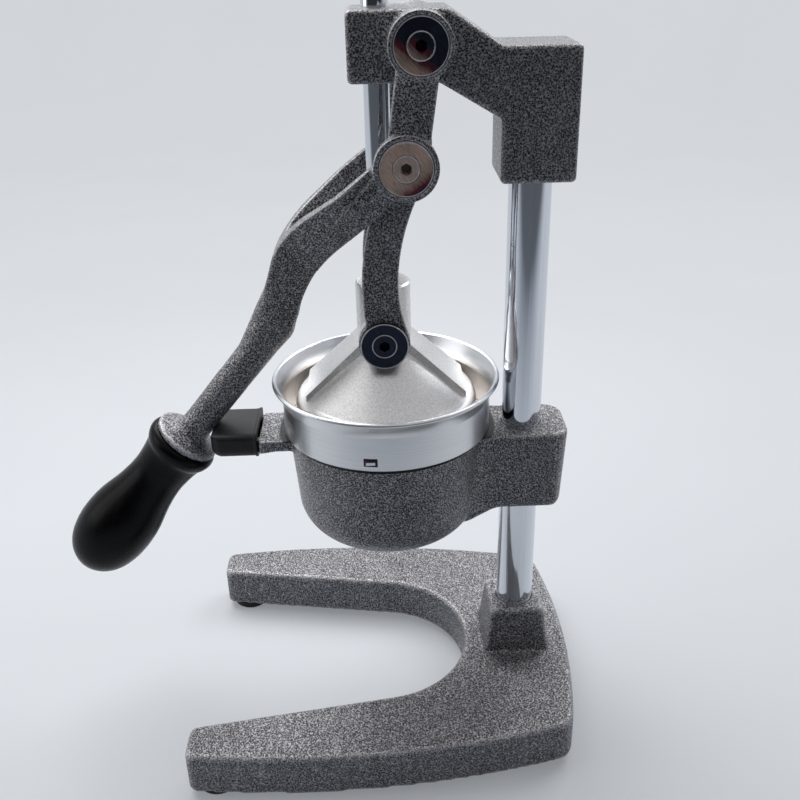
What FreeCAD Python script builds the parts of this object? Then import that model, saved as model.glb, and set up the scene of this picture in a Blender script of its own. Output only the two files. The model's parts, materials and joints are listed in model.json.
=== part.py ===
"""Lever citrus juice press: a cast U-shaped stand, a chrome column, a toggle lever and a ram
that drives a hollow cone down over a perforated strainer.

Frame: Z up from the table, -Y is the front where the lever hangs, +X is the right side.
Every outline is drawn about the ram's axis; origin_y then moves the whole press so that the
origin lies under the middle of its length. All lengths are in millimetres.
"""
import FreeCAD, Part
import math
import os
from types import SimpleNamespace

import Sketcher

SIZES = {
    # Stand
    "foot_height": 5.0,
    "foot_radius": 12.0,
    "foot_front_x": 82.0,
    "foot_front_y": 102.0,
    "foot_back_x": 68.0,
    "foot_back_y": 82.0,
    "base_top": 31.3,
    "base_tip_y": 117.4,
    "base_tip_outer": 94.6,
    "base_side_radius": 580.0,
    "base_corner_x": 80.3,
    "base_corner_y": 100.0,
    "base_corner_radius": 12.0,
    "base_back_radius": 383.0,
    "base_tip_radius": 5.0,
    "base_edge": 2.5,
    "base_wall": 9.0,
    "base_roof": 8.0,
    "gap_radius": 54.0,
    "gap_forward": 9.0,
    "gap_flare": 9.1,
    "pedestal_top": 61.3,
    "pedestal_foot_half": 20.0,
    "pedestal_top_half": 16.5,
    # Column
    "column_radius": 11.0,
    "column_y": 76.0,
    "column_seat": 25.0,
    "column_in_head": 54.0,
    "bore_clearance": 0.05,
    # Linkage
    "die_pivot_z": 243.3,
    "link_length": 92.0,
    "crank_length": 54.2,
    "crank_offset": 20.1,
    "side_gap": 0.4,
    "link_thick": 5.5,
    "arm_thick": 7.2,
    "link_eye": 13.4,
    "link_waist_front": 10.3,
    "link_waist_back": 8.0,
    "crank_eye": 14.9,
    "elbow_eye": 15.5,
    # Head
    "head_half": 20.0,
    "head_nose": 13.5,
    "head_rise": 14.4,
    "head_shoulder_drop": 2.1,
    "head_slope_start": 33.7,
    "nose_drop": 17.6,
    "nose_back": 29.0,
    "clamp_top_drop": 35.0,
    "clamp_drop": 65.6,
    "clamp_half": 17.5,
    "head_edge": 2.2,
    # Pivot hardware
    "bush_radius": 8.0,
    "bush_clearance": 0.08,
    "disc_thick": 2.6,
    "disc_sunk": 2.0,
    "crank_disc": 12.7,
    "elbow_disc": 13.0,
    "lower_disc": 12.4,
    "screw_head_radius": 6.5,
    "screw_head_height": 5.0,
    "screw_radius": 4.0,
    "screw_reach": 13.0,
    "hex_flats": 5.0,
    "hex_depth": 3.0,
    # Lever
    "arm_half_width": 10.0,
    "crook_forward": 49.7,
    "crook_down": 25.4,
    "crook_radius": 70.0,
    "knee_forward": 75.6,
    "knee_down": 68.5,
    "bend_back_forward": 36.0,
    "bend_back_down": 43.5,
    "bend_back_radius": 80.0,
    "heel_forward": 57.5,
    "heel_down": 80.0,
    "rod_forward": 71.0,
    "rod_down": 88.0,
    "rod_angle": 50.0,
    "rod_root_radius": 8.8,
    "rod_radius": 8.0,
    "rod_length": 88.0,
    "rod_flare": 11.0,
    "collar_radius": 17.0,
    "collar_thick": 3.5,
    "fork_tilt": 45.0,
    "fork_straight": 33.5,
    "crotch_down": 73.0,
    "crotch_half": 6.0,
    "crotch_outer": 14.5,
    "knee_drop": 112.0,
    # Grip
    "grip_flange": 19.5,
    "grip_flange_thick": 7.0,
    "grip_neck": 14.7,
    "grip_neck_at": 29.0,
    "grip_belly": 21.3,
    "grip_belly_at": 80.0,
    "grip_length": 111.0,
    "stud_radius": 5.0,
    "stud_length": 60.0,
    "stud_in_rod": 22.0,
    # Ram and die
    "ram_radius": 6.5,
    "ram_top": 440.0,
    "ram_seat_above_pivot": 8.5,
    "ram_clearance": 0.1,
    "neck_radius": 14.5,
    "neck_above_pivot": 26.3,
    "cone_top_drop": 6.3,
    "cone_slope": 42.7,
    "cone_rim_radius": 46.0,
    "die_radius": 50.0,
    "die_bottom": 196.0,
    "die_skirt": 5.5,
    "die_wall": 5.0,
    "trunnion_radius": 12.5,
    "web_half": 6.5,
    "ramp_neck_half": 14.0,
    "ramp_rim_half": 17.5,
    "ramp_reach": 43.0,
    # Cup and strainer
    "cup_rim_radius": 62.5,
    "cup_rim_top": 215.8,
    "cup_band_radius": 57.4,
    "cup_shoulder": 185.8,
    "cup_wall": 1.4,
    "cup_lip_height": 10.5,
    "cup_spigot_radius": 49.6,
    "cup_spigot_depth": 9.0,
    "strainer_wall": 1.0,
    "strainer_gap": 7.0,
    "strainer_skirt": 42.6,
    "strainer_hole": 1.8,
    "slot_y": 9.05,
    "slot_width": 5.5,
    "slot_height": 3.4,
    "slot_above_floor": 4.2,
    # Holder
    "holder_top": 184.0,
    "holder_lip_radius": 54.0,
    "holder_rim_radius": 55.2,
    "holder_low_radius": 52.0,
    "holder_bottom": 122.0,
    "holder_round": 22.0,
    "holder_wall": 5.0,
    "spigot_clearance": 0.4,
    "drain_radius": 14.0,
    "arm_bottom": 137.0,
    "boss_half": 19.8,
    "boss_behind": 25.0,
    "boss_round": 10.0,
    "shelf_half": 18.0,
    "shelf_thick": 6.8,
    "shelf_root": 68.0,
    "tongue_half": 15.0,
    "rest_gap": 0.3,
    # Rubber bumper
    "sleeve_half": 18.0,
    "sleeve_top": 188.0,
    "sleeve_bottom": 173.5,
    "sleeve_back": 71.0,
    "sleeve_front_wall": 5.0,
    "sleeve_edge": 3.0,
    "sleeve_lip": 1.0,
    "fit_gap": 0.1,
}


class Size:
    """A length or an angle: its number, and the sheet formula that gives it."""

    def __init__(self, value, text=None):
        self.value = float(value)
        self.text = repr(float(value)) if text is None else text

    def __add__(self, other):
        return joined(self, "+", other, self.value + size(other).value)

    def __radd__(self, other):
        return size(other) + self

    def __sub__(self, other):
        return joined(self, "-", other, self.value - size(other).value)

    def __rsub__(self, other):
        return size(other) - self

    def __mul__(self, other):
        return joined(self, "*", other, self.value * size(other).value)

    def __rmul__(self, other):
        return size(other) * self

    def __truediv__(self, other):
        return joined(self, "/", other, self.value / size(other).value)

    def __neg__(self):
        return Size(-self.value, f"(0 - {self.text})")


def size(item):
    return item if isinstance(item, Size) else Size(item)


def joined(first, mark, second, value):
    return Size(value, f"({first.text} {mark} {size(second).text})")


def sine(angle):
    return Size(math.sin(math.radians(angle.value)), f"sin({angle.text})")


def cosine(angle):
    return Size(math.cos(math.radians(angle.value)), f"cos({angle.text})")


def tangent(angle):
    return Size(math.tan(math.radians(angle.value)), f"tan({angle.text})")


def root(number):
    return Size(math.sqrt(number.value), f"sqrt({number.text})")


doc = FreeCAD.newDocument("CitrusPress")
sheet = doc.addObject("Spreadsheet::Sheet", "Sizes")
for row, (alias, number) in enumerate(SIZES.items(), 1):
    sheet.set(f"A{row}", alias)
    sheet.set(f"B{row}", str(number))
    sheet.setAlias(f"B{row}", alias)
doc.recompute()
d = SimpleNamespace(**{alias: Size(number, f"Sizes.{alias}") for alias, number in SIZES.items()})
frame_sheet = doc.addObject("Spreadsheet::Sheet", "Frame")
frame_sheet.set("A1", "origin_y")
frame_sheet.set("B1", "0")
frame_sheet.setAlias("B1", "origin_y")
origin_y = Size(0, "Frame.origin_y")
subparts = []


def bind(item, name, amount):
    """Ties a property or a sketch constraint to its sheet formula."""
    amount = size(amount)
    if "Sizes." in amount.text or "Frame." in amount.text:
        item.setExpression(name, amount.text)


def body(label):
    made = doc.addObject("PartDesign::Body", label)
    made.Label = label
    return made


def place(item, x=0.0, y=0.0, z=0.0, turn=None):
    """Puts a piece at a point; turn is (axis, degrees)."""
    x, y, z = size(x), size(y), size(z)
    turned_by = FreeCAD.Rotation(*turn) if turn else FreeCAD.Rotation()
    item.Placement = FreeCAD.Placement(FreeCAD.Vector(x.value, y.value, z.value), turned_by)
    bind(item, "Placement.Base.x", x)
    bind(item, "Placement.Base.y", y)
    bind(item, "Placement.Base.z", z)


def keep(item, y=0.0, **where):
    """Marks a sub-part to be written, and places it in the press's own frame."""
    place(item, y=size(y) + origin_y, **where)
    subparts.append(item)
    return item


def sketch(owner, plane, offset=None):
    made = owner.newObject("Sketcher::SketchObject", f"{owner.Label}_sketch")
    support = [item for item in owner.Origin.OriginFeatures if item.Role == plane][0]
    made.AttachmentSupport = (support, [""])
    made.MapMode = "FlatFace"
    if offset is not None:
        offset = size(offset)
        made.AttachmentOffset = FreeCAD.Placement(FreeCAD.Vector(0, 0, offset.value), FreeCAD.Rotation())
        bind(made, "AttachmentOffset.Base.z", offset)
    return made


def arc_between(first, last, radius):
    """Arc of under half a circle; a negative radius curves the other way."""
    chord = last - first
    middle = (first + last) * 0.5
    left = FreeCAD.Vector(-chord.y, chord.x, 0).normalize()
    reach = math.sqrt(max(radius * radius - (chord.Length / 2) ** 2, 0.0))
    centre = middle + left * (reach if radius > 0 else -reach)
    ends = (first, last) if radius > 0 else (last, first)
    angles = [math.atan2(end.y - centre.y, end.x - centre.x) for end in ends]
    circle = Part.Circle(centre, FreeCAD.Vector(0, 0, 1), abs(radius))
    return Part.ArcOfCircle(circle, angles[0], angles[1])


def draw(made, corners):
    """Adds one closed outline, anticlockwise. A corner is (across, up) or, where an arc leads on
    to the next corner, (across, up, radius); a hollow arc has a negative radius."""
    places = [(size(corner[0]), size(corner[1])) for corner in corners]
    bends = [size(corner[2]) if len(corner) > 2 else None for corner in corners]
    points = [FreeCAD.Vector(across.value, up.value, 0) for across, up in places]
    start = made.GeometryCount
    shapes = []
    ends = []
    for number, bend in enumerate(bends):
        first, last = points[number], points[(number + 1) % len(points)]
        shapes.append(arc_between(first, last, bend.value) if bend else Part.LineSegment(first, last))
        ends.append((2, 1) if bend and bend.value < 0 else (1, 2))
    made.addGeometry(shapes, False)
    limits = []
    for number, (across, up) in enumerate(places):
        edge, after = start + number, (number + 1) % len(places)
        limits.append((Sketcher.Constraint("Coincident", edge, ends[number][1], start + after, ends[after][0]), None))
        limits.append((Sketcher.Constraint("DistanceX", -1, 1, edge, ends[number][0], across.value), across))
        limits.append((Sketcher.Constraint("DistanceY", -1, 1, edge, ends[number][0], up.value), up))
        if bends[number]:
            radius = bends[number] if bends[number].value > 0 else -bends[number]
            limits.append((Sketcher.Constraint("Radius", edge, radius.value), radius))
    constrain(made, limits)


def draw_circles(made, circles):
    """Adds circles (across, up, radius)."""
    start = made.GeometryCount
    rings = [tuple(size(item) for item in circle) for circle in circles]
    upright = FreeCAD.Vector(0, 0, 1)
    made.addGeometry(
        [Part.Circle(FreeCAD.Vector(x.value, y.value, 0), upright, r.value) for x, y, r in rings], False
    )
    limits = []
    for edge, (x, y, radius) in enumerate(rings, start):
        limits.append((Sketcher.Constraint("DistanceX", -1, 1, edge, 3, x.value), x))
        limits.append((Sketcher.Constraint("DistanceY", -1, 1, edge, 3, y.value), y))
        limits.append((Sketcher.Constraint("Radius", edge, radius.value), radius))
    constrain(made, limits)


def constrain(made, limits):
    start = made.ConstraintCount
    made.addConstraint([limit for limit, _ in limits])
    for number, (_, amount) in enumerate(limits, start):
        if amount is not None:
            bind(made, f"Constraints[{number}]", amount)


def outline(owner, plane, *loops, offset=None):
    made = sketch(owner, plane, offset)
    for loop in loops:
        draw(made, loop)
    return made


def circles(owner, plane, *rings, offset=None):
    made = sketch(owner, plane, offset)
    draw_circles(made, rings)
    return made


def feature(owner, kind, profile, name, amount=None, symmetric=False, reverse=False):
    made = owner.newObject(f"PartDesign::{kind}", f"{owner.Label}_{kind.lower()}")
    made.Profile = profile
    if amount is None:
        made.Type = "ThroughAll"
    else:
        setattr(made, name, size(amount).value)
        bind(made, name, amount)
    if symmetric:
        made.SideType = "Symmetric"
    made.Reversed = reverse
    return made


def pad(owner, profile, length, symmetric=False, reverse=False):
    return feature(owner, "Pad", profile, "Length", length, symmetric, reverse)


def pocket(owner, profile, length=None, symmetric=False, reverse=False):
    return feature(owner, "Pocket", profile, "Length", length, symmetric, reverse)


def turn(owner, corners, kind="Revolution"):
    """Full turn about Z of an outline given as (radius, height) corners."""
    profile = outline(owner, "XZ_Plane", corners)
    made = owner.newObject(f"PartDesign::{kind}", f"{owner.Label}_{kind.lower()}")
    made.Profile = profile
    made.ReferenceAxis = (profile, ["V_Axis"])
    made.Angle = 360.0
    return made


def soften(owner, radius, chosen, kind="Fillet"):
    """Rounds or chamfers the edges of the last feature that the test picks."""
    doc.recompute()
    last = owner.Tip
    names = [f"Edge{number}" for number, edge in enumerate(last.Shape.Edges, 1) if chosen(edge)]
    made = owner.newObject(f"PartDesign::{kind}", f"{owner.Label}_{kind.lower()}")
    made.Base = (last, names)
    bind(made, "Radius" if kind == "Fillet" else "Size", radius)
    return made


def level(edge, height):
    """True for an edge that lies flat at a height."""
    box = edge.BoundBox
    return abs(box.ZMin - height.value) < 0.01 and abs(box.ZMax - height.value) < 0.01


def upright(edge):
    box = edge.BoundBox
    return box.XLength < 0.01 and box.YLength < 0.01


def turned(label, corners):
    made = body(label)
    turn(made, corners)
    return made


def mirrored(corners):
    """The right half of a symmetric outline, bottom to top, with its left half added."""
    left = []
    for number in range(len(corners) - 1, -1, -1):
        across, up = corners[number][:2]
        bend = corners[number - 1][2:] if number else ()
        left.append((-size(across), up, *bend))
    return list(corners) + left


def group(label, members):
    made = doc.addObject("Part::Compound", label)
    made.Label = label
    made.Links = members
    return made


# Pivots, from the toggle in line: die pivot, elbow and crank pivot lie on one leaning line.
arm_reach = d.crank_length + d.link_length
lean_sine = d.crank_offset / arm_reach
lean_cosine = root(1 - lean_sine * lean_sine)
crank_y = d.crank_offset
crank_z = d.die_pivot_z + arm_reach * lean_cosine
elbow_y = d.link_length * lean_sine
elbow_z = d.die_pivot_z + d.link_length * lean_cosine

# Layers outwards along X: die trunnion and head, link, lever arm, pivot disc.
link_inner = d.head_half + d.side_gap
link_outer = link_inner + d.link_thick
arm_inner = link_outer + d.side_gap
arm_outer = arm_inner + d.arm_thick
boss_face = arm_inner - d.rest_gap

# Lever rod: where it leaves the casting, and its direction forwards and down.
rod_y = elbow_y - d.rod_forward
rod_z = elbow_z - d.rod_down
rod_cosine = cosine(d.rod_angle)
rod_sine = sine(d.rod_angle)

head_back = d.column_y + d.clamp_half
head_top = crank_z + d.head_rise
head_low = crank_z - d.clamp_drop
column_top = head_low + d.column_in_head
column_hole = d.column_radius + d.bore_clearance
disc_seat = arm_outer - d.disc_sunk
bush_hole = d.bush_radius + d.bush_clearance

FOOT_BORE = 2.8
FOOT_SCREW_RADIUS = 2.5
FOOT_HEAD_RADIUS = 4.75
FOOT_HEAD_HEIGHT = 2.4
FOOT_SCREW_LENGTH = 14.0
BOLT_WEB = 9.0
BOLT_HEAD_HEIGHT = 8.0
BOLT_LENGTH = 28.0
BOLT_HEX_FLATS = 6.0
BOLT_HEX_DEPTH = 4.0
WASHER_RADIUS = 9.0
WASHER_THICK = 1.6
CLEARANCE_HOLE = 4.4
SET_SCREW_RADIUS = 3.0
SET_SCREW_HEX = 3.0
SET_SCREW_HEX_DEPTH = 3.0
CHAMFER = 1.0
STRAINER_COLUMNS = 16


def hexagon(flats):
    """Hexagon across flats, as outline corners."""
    half = size(flats) / 2
    across = half * (2 / math.sqrt(3))
    return [
        (across * math.cos(math.radians(60 * step)), across * math.sin(math.radians(60 * step)))
        for step in range(6)
    ]


def socket_screw(label, head_radius, head_height, shank_radius, length, flats, depth):
    """Cap screw along Z: the head stands from 0 upwards, the shank hangs below it."""
    made = body(label)
    edge = 0.4
    turn(
        made,
        [
            (0, -size(length)),
            (shank_radius - edge, -size(length)),
            (shank_radius, edge - length),
            (shank_radius, 0),
            (head_radius, 0),
            (head_radius, head_height - edge),
            (head_radius - edge, head_height),
            (0, head_height),
        ],
    )
    pocket(made, outline(made, "XY_Plane", hexagon(flats), offset=head_height), depth)
    return made


def set_screw(label, radius, length):
    """Headless screw along Z, its socket at the top."""
    made = body(label)
    length = size(length)
    tip = 0.8
    turn(made, [(0, -length), (radius - tip, -length), (radius, tip - length), (radius, 0), (0, 0)])
    pocket(made, outline(made, "XY_Plane", hexagon(SET_SCREW_HEX), offset=0), SET_SCREW_HEX_DEPTH)
    return made


def foot_places():
    yield "front_right", d.foot_front_x, -d.foot_front_y
    yield "front_left", -d.foot_front_x, -d.foot_front_y
    yield "back_right", d.foot_back_x, d.foot_back_y
    yield "back_left", -d.foot_back_x, d.foot_back_y


def make_base():
    """Cast stand: two legs and a back, hollow under the legs, with a pedestal for the column."""
    base = body("base")
    gap_x = d.gap_radius * cosine(d.gap_flare)
    gap_y = d.gap_radius * sine(d.gap_flare) - d.gap_forward
    gap_back = d.gap_radius - d.gap_forward
    tip_inner = gap_x + (d.base_tip_y + gap_y) * tangent(d.gap_flare)
    plan = [
        (d.base_tip_outer, -d.base_tip_y, d.base_side_radius),
        (d.base_corner_x, d.base_corner_y, d.base_back_radius),
        (-d.base_corner_x, d.base_corner_y, d.base_side_radius),
        (-d.base_tip_outer, -d.base_tip_y),
        (-tip_inner, -d.base_tip_y),
        (-gap_x, gap_y, -d.gap_radius),
        (0, gap_back, -d.gap_radius),
        (gap_x, gap_y),
        (tip_inner, -d.base_tip_y),
    ]
    pad(base, outline(base, "XY_Plane", plan, offset=d.foot_height), d.base_top - d.foot_height)
    tip, corner = -d.base_tip_y.value, d.base_corner_y.value
    soften(base, d.base_tip_radius, lambda edge: upright(edge) and edge.BoundBox.YMin < tip + 0.1)
    soften(base, d.base_corner_radius, lambda edge: upright(edge) and edge.BoundBox.YMin > corner - 0.1)
    soften(base, d.base_edge, lambda edge: level(edge, d.base_top))
    foot = d.pedestal_foot_half
    crown = d.pedestal_top_half
    lower = outline(base, "XY_Plane", square(foot, d.column_y), offset=d.base_top - 1)
    upper = outline(base, "XY_Plane", square(crown, d.column_y), offset=d.pedestal_top)
    loft = base.newObject("PartDesign::AdditiveLoft", "pedestal")
    loft.Profile = lower
    loft.Sections = [upper]
    low = d.base_top.value
    soften(base, d.base_edge, lambda edge: is_pedestal_edge(edge, low))
    pocket(
        base,
        circles(base, "XY_Plane", (0, d.column_y, column_hole), offset=d.pedestal_top),
        d.pedestal_top - d.column_seat,
    )
    pocket(base, circles(base, "XY_Plane", (0, d.column_y, CLEARANCE_HOLE), offset=d.pedestal_top))
    seat = d.column_seat - BOLT_WEB
    pocket(base, circles(base, "XY_Plane", (0, d.column_y, WASHER_RADIUS + 1), offset=seat), seat)
    leg = [
        (tip_inner + d.base_wall, -(d.foot_front_y - d.foot_radius - 4)),
        (d.base_tip_outer - d.base_wall, -(d.foot_front_y - d.foot_radius - 4)),
        (d.base_tip_outer - d.base_wall, d.foot_back_y - d.foot_radius - 26),
        (d.gap_radius + d.base_wall, d.foot_back_y - d.foot_radius - 26),
        (d.gap_radius + d.base_wall, -d.gap_forward - 12),
    ]
    far_leg = [(-across, up) for across, up in reversed(leg)]
    hollow = outline(base, "XY_Plane", leg, far_leg, offset=d.base_top - d.base_roof)
    pocket(base, hollow, d.base_top - d.base_roof - d.foot_height)
    holes = [(x, y, FOOT_SCREW_RADIUS) for _, x, y in foot_places()]
    drilled = circles(base, "XY_Plane", *holes, offset=d.foot_height + FOOT_SCREW_LENGTH)
    pocket(base, drilled, FOOT_SCREW_LENGTH + 1)
    return keep(base)


def square(half, middle_y):
    return [(-half, middle_y - half), (half, middle_y - half), (half, middle_y + half), (-half, middle_y + half)]


def is_pedestal_edge(edge, low):
    box = edge.BoundBox
    return box.ZMin > low - 0.01 and box.ZMax > low + 1


def make_feet():
    """Rubber feet, each held by a pan head screw sunk in it."""
    sunk = FOOT_HEAD_HEIGHT + 0.4
    screws = []
    for name, x, y in foot_places():
        foot = turned(
            f"foot_{name}",
            [
                (FOOT_BORE, sunk),
                (FOOT_HEAD_RADIUS + 0.5, sunk),
                (FOOT_HEAD_RADIUS + 0.5, 0),
                (d.foot_radius - 1.2, 0),
                (d.foot_radius, 1.2),
                (d.foot_radius, d.foot_height),
                (FOOT_BORE, d.foot_height),
            ],
        )
        keep(foot, x=x, y=y)
        screw = turned(
            f"foot_screw_{name}",
            [
                (0, sunk - FOOT_HEAD_HEIGHT),
                (FOOT_HEAD_RADIUS - 0.8, sunk - FOOT_HEAD_HEIGHT),
                (FOOT_HEAD_RADIUS, sunk - 1.2),
                (FOOT_HEAD_RADIUS, sunk),
                (FOOT_SCREW_RADIUS, sunk),
                (FOOT_SCREW_RADIUS, sunk + FOOT_SCREW_LENGTH),
                (0, sunk + FOOT_SCREW_LENGTH),
            ],
        )
        slot = [(-3.2, -0.6), (3.2, -0.6), (3.2, 0.6), (-3.2, 0.6)]
        pocket(screw, outline(screw, "XY_Plane", slot, offset=sunk - 1.2), 3)
        place(screw, x=x, y=y)
        screws.append(screw)
    keep(group("foot_screws", screws))


def make_column():
    """Ground and chromed column, bolted up through the base."""
    seat = d.column_seat
    radius = d.column_radius
    column = turned(
        "column",
        [
            (d.screw_radius, seat),
            (radius - CHAMFER, seat),
            (radius, seat + CHAMFER),
            (radius, column_top - CHAMFER),
            (radius - CHAMFER, column_top),
            (0, column_top),
            (0, seat + BOLT_LENGTH - 4),
            (d.screw_radius, seat + BOLT_LENGTH - 4),
        ],
    )
    keep(column, y=d.column_y)
    under = seat - BOLT_WEB
    washer = turned(
        "column_washer",
        [
            (CLEARANCE_HOLE, under - WASHER_THICK),
            (WASHER_RADIUS, under - WASHER_THICK),
            (WASHER_RADIUS, under),
            (CLEARANCE_HOLE, under),
        ],
    )
    keep(washer, y=d.column_y)
    bolt = socket_screw(
        "column_bolt",
        d.screw_head_radius,
        size(BOLT_HEAD_HEIGHT),
        d.screw_radius - 0.05,
        BOLT_LENGTH,
        BOLT_HEX_FLATS,
        BOLT_HEX_DEPTH,
    )
    keep(bolt, y=d.column_y, z=under - WASHER_THICK, turn=(FreeCAD.Vector(1, 0, 0), 180))


def make_head():
    """Cast head: clamps the column at the back, guides the ram at the front, carries the lever."""
    head = body("head")
    clamp_front = d.column_y - d.clamp_half
    nose_low = crank_z - d.nose_drop
    side = [
        (-d.head_nose, nose_low),
        (d.nose_back, nose_low),
        (clamp_front, crank_z - d.clamp_top_drop),
        (clamp_front, head_low),
        (head_back, head_low),
        (head_back, crank_z - d.head_shoulder_drop),
        (clamp_front, crank_z - d.head_shoulder_drop),
        (d.head_slope_start, head_top),
        (-d.head_nose, head_top),
    ]
    pad(head, outline(head, "YZ_Plane", side), d.head_half * 2, symmetric=True)
    soften(head, d.head_edge, lambda edge: True)
    pad(head, circles(head, "YZ_Plane", (crank_y, crank_z, d.crank_eye)), boss_face * 2, symmetric=True)
    column = circles(head, "XY_Plane", (0, d.column_y, column_hole), offset=column_top)
    pocket(head, column, d.column_in_head + 1)
    ram = circles(head, "XY_Plane", (0, 0, d.ram_radius + d.ram_clearance), offset=head_top + 1)
    pocket(head, ram, d.head_rise + d.nose_drop + 2)
    pocket(head, circles(head, "YZ_Plane", (crank_y, crank_z, d.screw_radius)), symmetric=True)
    rows = [head_low + d.column_in_head * share for share in (0.28, 0.72)]
    drilled = circles(head, "XZ_Plane", *[(0, row, SET_SCREW_RADIUS) for row in rows], offset=-head_back)
    pocket(head, drilled, d.clamp_half - d.column_radius + 2, reverse=True)
    keep(head)
    screws = []
    for number, row in enumerate(rows, 1):
        length = d.clamp_half - d.column_radius - 0.6
        screw = set_screw(f"head_set_screw_{number}", SET_SCREW_RADIUS - 0.05, length)
        place(screw, y=head_back - 0.5, z=row, turn=(FreeCAD.Vector(1, 0, 0), -90))
        screws.append(screw)
    keep(group("head_set_screws", screws))


def bush_and_screw(name, side, face, y, z, length, disc, reach):
    """Flanged pivot bush with its cap screw sunk in it, both pointing out along X."""
    floor = length - d.screw_head_height - 0.2
    sunk = d.screw_head_radius + 0.2
    edge = 0.4
    hole = d.screw_radius + 0.2
    bush = turned(
        f"{name}_bush_{side}",
        [
            (hole, 0),
            (d.bush_radius, 0),
            (d.bush_radius, length - d.disc_thick),
            (disc, length - d.disc_thick),
            (disc, length - edge),
            (disc - edge, length),
            (sunk, length),
            (sunk, floor),
            (hole, floor),
        ],
    )
    sign = 1 if side == "right" else -1
    out = (FreeCAD.Vector(0, 1, 0), 90 * sign)
    keep(bush, x=face * sign, y=y, z=z, turn=out)
    screw = socket_screw(
        f"{name}_screw_{side}",
        d.screw_head_radius,
        d.screw_head_height,
        d.screw_radius - 0.05,
        floor + reach,
        d.hex_flats,
        d.hex_depth,
    )
    keep(screw, x=(face + floor) * sign, y=y, z=z, turn=out)


def make_pivots():
    disc_face = disc_seat + 0.1 + d.disc_thick
    lower_face = link_outer + d.rest_gap + d.disc_thick
    for side in ("right", "left"):
        bush_and_screw(
            "upper_pivot", side, boss_face, crank_y, crank_z, disc_face - boss_face, d.crank_disc, d.screw_reach
        )
        bush_and_screw("elbow", side, arm_inner, elbow_y, elbow_z, disc_face - arm_inner, d.elbow_disc, size(0))
        bush_and_screw(
            "lower_pivot",
            side,
            d.head_half,
            size(0),
            d.die_pivot_z,
            lower_face - d.head_half,
            d.lower_disc,
            d.screw_reach - 1,
        )


def make_ram():
    """Chromed ram: slides in the head and stands in the neck of the die."""
    seat = d.die_pivot_z + d.ram_seat_above_pivot
    radius = d.ram_radius
    keep(
        turned(
            "ram",
            [
                (0, seat),
                (radius - CHAMFER, seat),
                (radius, seat + CHAMFER),
                (radius, d.ram_top - CHAMFER),
                (radius - CHAMFER, d.ram_top),
                (0, d.ram_top),
            ],
        )
    )
    return seat


def cone_height(radius):
    """Height of the die's outer cone at a radius."""
    top = d.die_pivot_z - d.cone_top_drop
    return top - tangent(d.cone_slope) * (size(radius) - d.neck_radius)


def make_die(ram_seat):
    """Cast aluminium die: neck, cone with two flat ramps, hollow underneath."""
    die = body("press_die")
    neck_top = d.die_pivot_z + d.neck_above_pivot
    skirt_top = d.die_bottom + d.die_skirt
    turn(
        die,
        [
            (0, d.die_bottom),
            (d.die_radius, d.die_bottom),
            (d.die_radius, skirt_top, 9.0),
            (d.cone_rim_radius, cone_height(d.cone_rim_radius)),
            (d.neck_radius, cone_height(d.neck_radius)),
            (d.neck_radius, neck_top - CHAMFER),
            (d.neck_radius - CHAMFER, neck_top),
            (0, neck_top),
        ],
    )
    for sign in (1, -1):
        inner = ramp_section(die, d.ramp_neck_half, sign, size(10))
        outer = ramp_section(die, d.ramp_rim_half, sign, d.ramp_reach)
        loft = die.newObject("PartDesign::AdditiveLoft", "ramp")
        loft.Profile = inner
        loft.Sections = [outer]
    pivot = d.die_pivot_z
    pad(die, circles(die, "YZ_Plane", (0, pivot, d.trunnion_radius)), d.head_half * 2, symmetric=True)
    web_low = cone_height(d.head_half) - 1
    web = [(-d.web_half, web_low), (d.web_half, web_low), (d.web_half, pivot), (-d.web_half, pivot)]
    pad(die, outline(die, "YZ_Plane", web), d.head_half * 2, symmetric=True)
    drop = d.die_wall / cosine(d.cone_slope)
    mouth = d.die_radius - d.die_wall
    crown = d.neck_radius - 2
    turn(
        die,
        [
            (0, d.die_bottom - 1),
            (mouth + 0.5, d.die_bottom - 1),
            (mouth, skirt_top),
            (mouth - 1.5, cone_height(mouth - 1.5) - drop),
            (crown, cone_height(crown) - drop),
            (0, cone_height(crown) - drop),
        ],
        kind="Groove",
    )
    bore = circles(die, "XY_Plane", (0, 0, d.ram_radius + 0.02), offset=neck_top)
    pocket(die, bore, neck_top - ram_seat)
    for sign in (1, -1):
        faced = circles(die, "YZ_Plane", (0, pivot, d.link_eye + d.rest_gap), offset=d.head_half * sign)
        pocket(die, faced, d.die_radius - d.head_half, reverse=sign > 0)
        tapped = circles(die, "YZ_Plane", (0, pivot, d.screw_radius), offset=d.head_half * sign)
        pocket(die, tapped, d.screw_reach, reverse=sign < 0)
    grub_z = ram_seat + 9
    grub = circles(die, "XZ_Plane", (0, grub_z, SET_SCREW_RADIUS), offset=-d.neck_radius)
    pocket(die, grub, d.neck_radius - d.ram_radius, reverse=True)
    keep(die)
    screw = set_screw("die_grub_screw", SET_SCREW_RADIUS - 0.05, d.neck_radius - d.ram_radius - 0.8)
    keep(screw, y=d.neck_radius - 0.6, z=grub_z, turn=(FreeCAD.Vector(1, 0, 0), -90))


def ramp_section(die, half, sign, reach):
    """Upright section of a ramp, flush with the cone along its middle."""
    top = cone_height(reach) + 0.3
    low = cone_height(reach) - 9
    return outline(die, "XZ_Plane", [(-half, low), (half, low), (half, top), (-half, top)], offset=-reach * sign)


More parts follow.
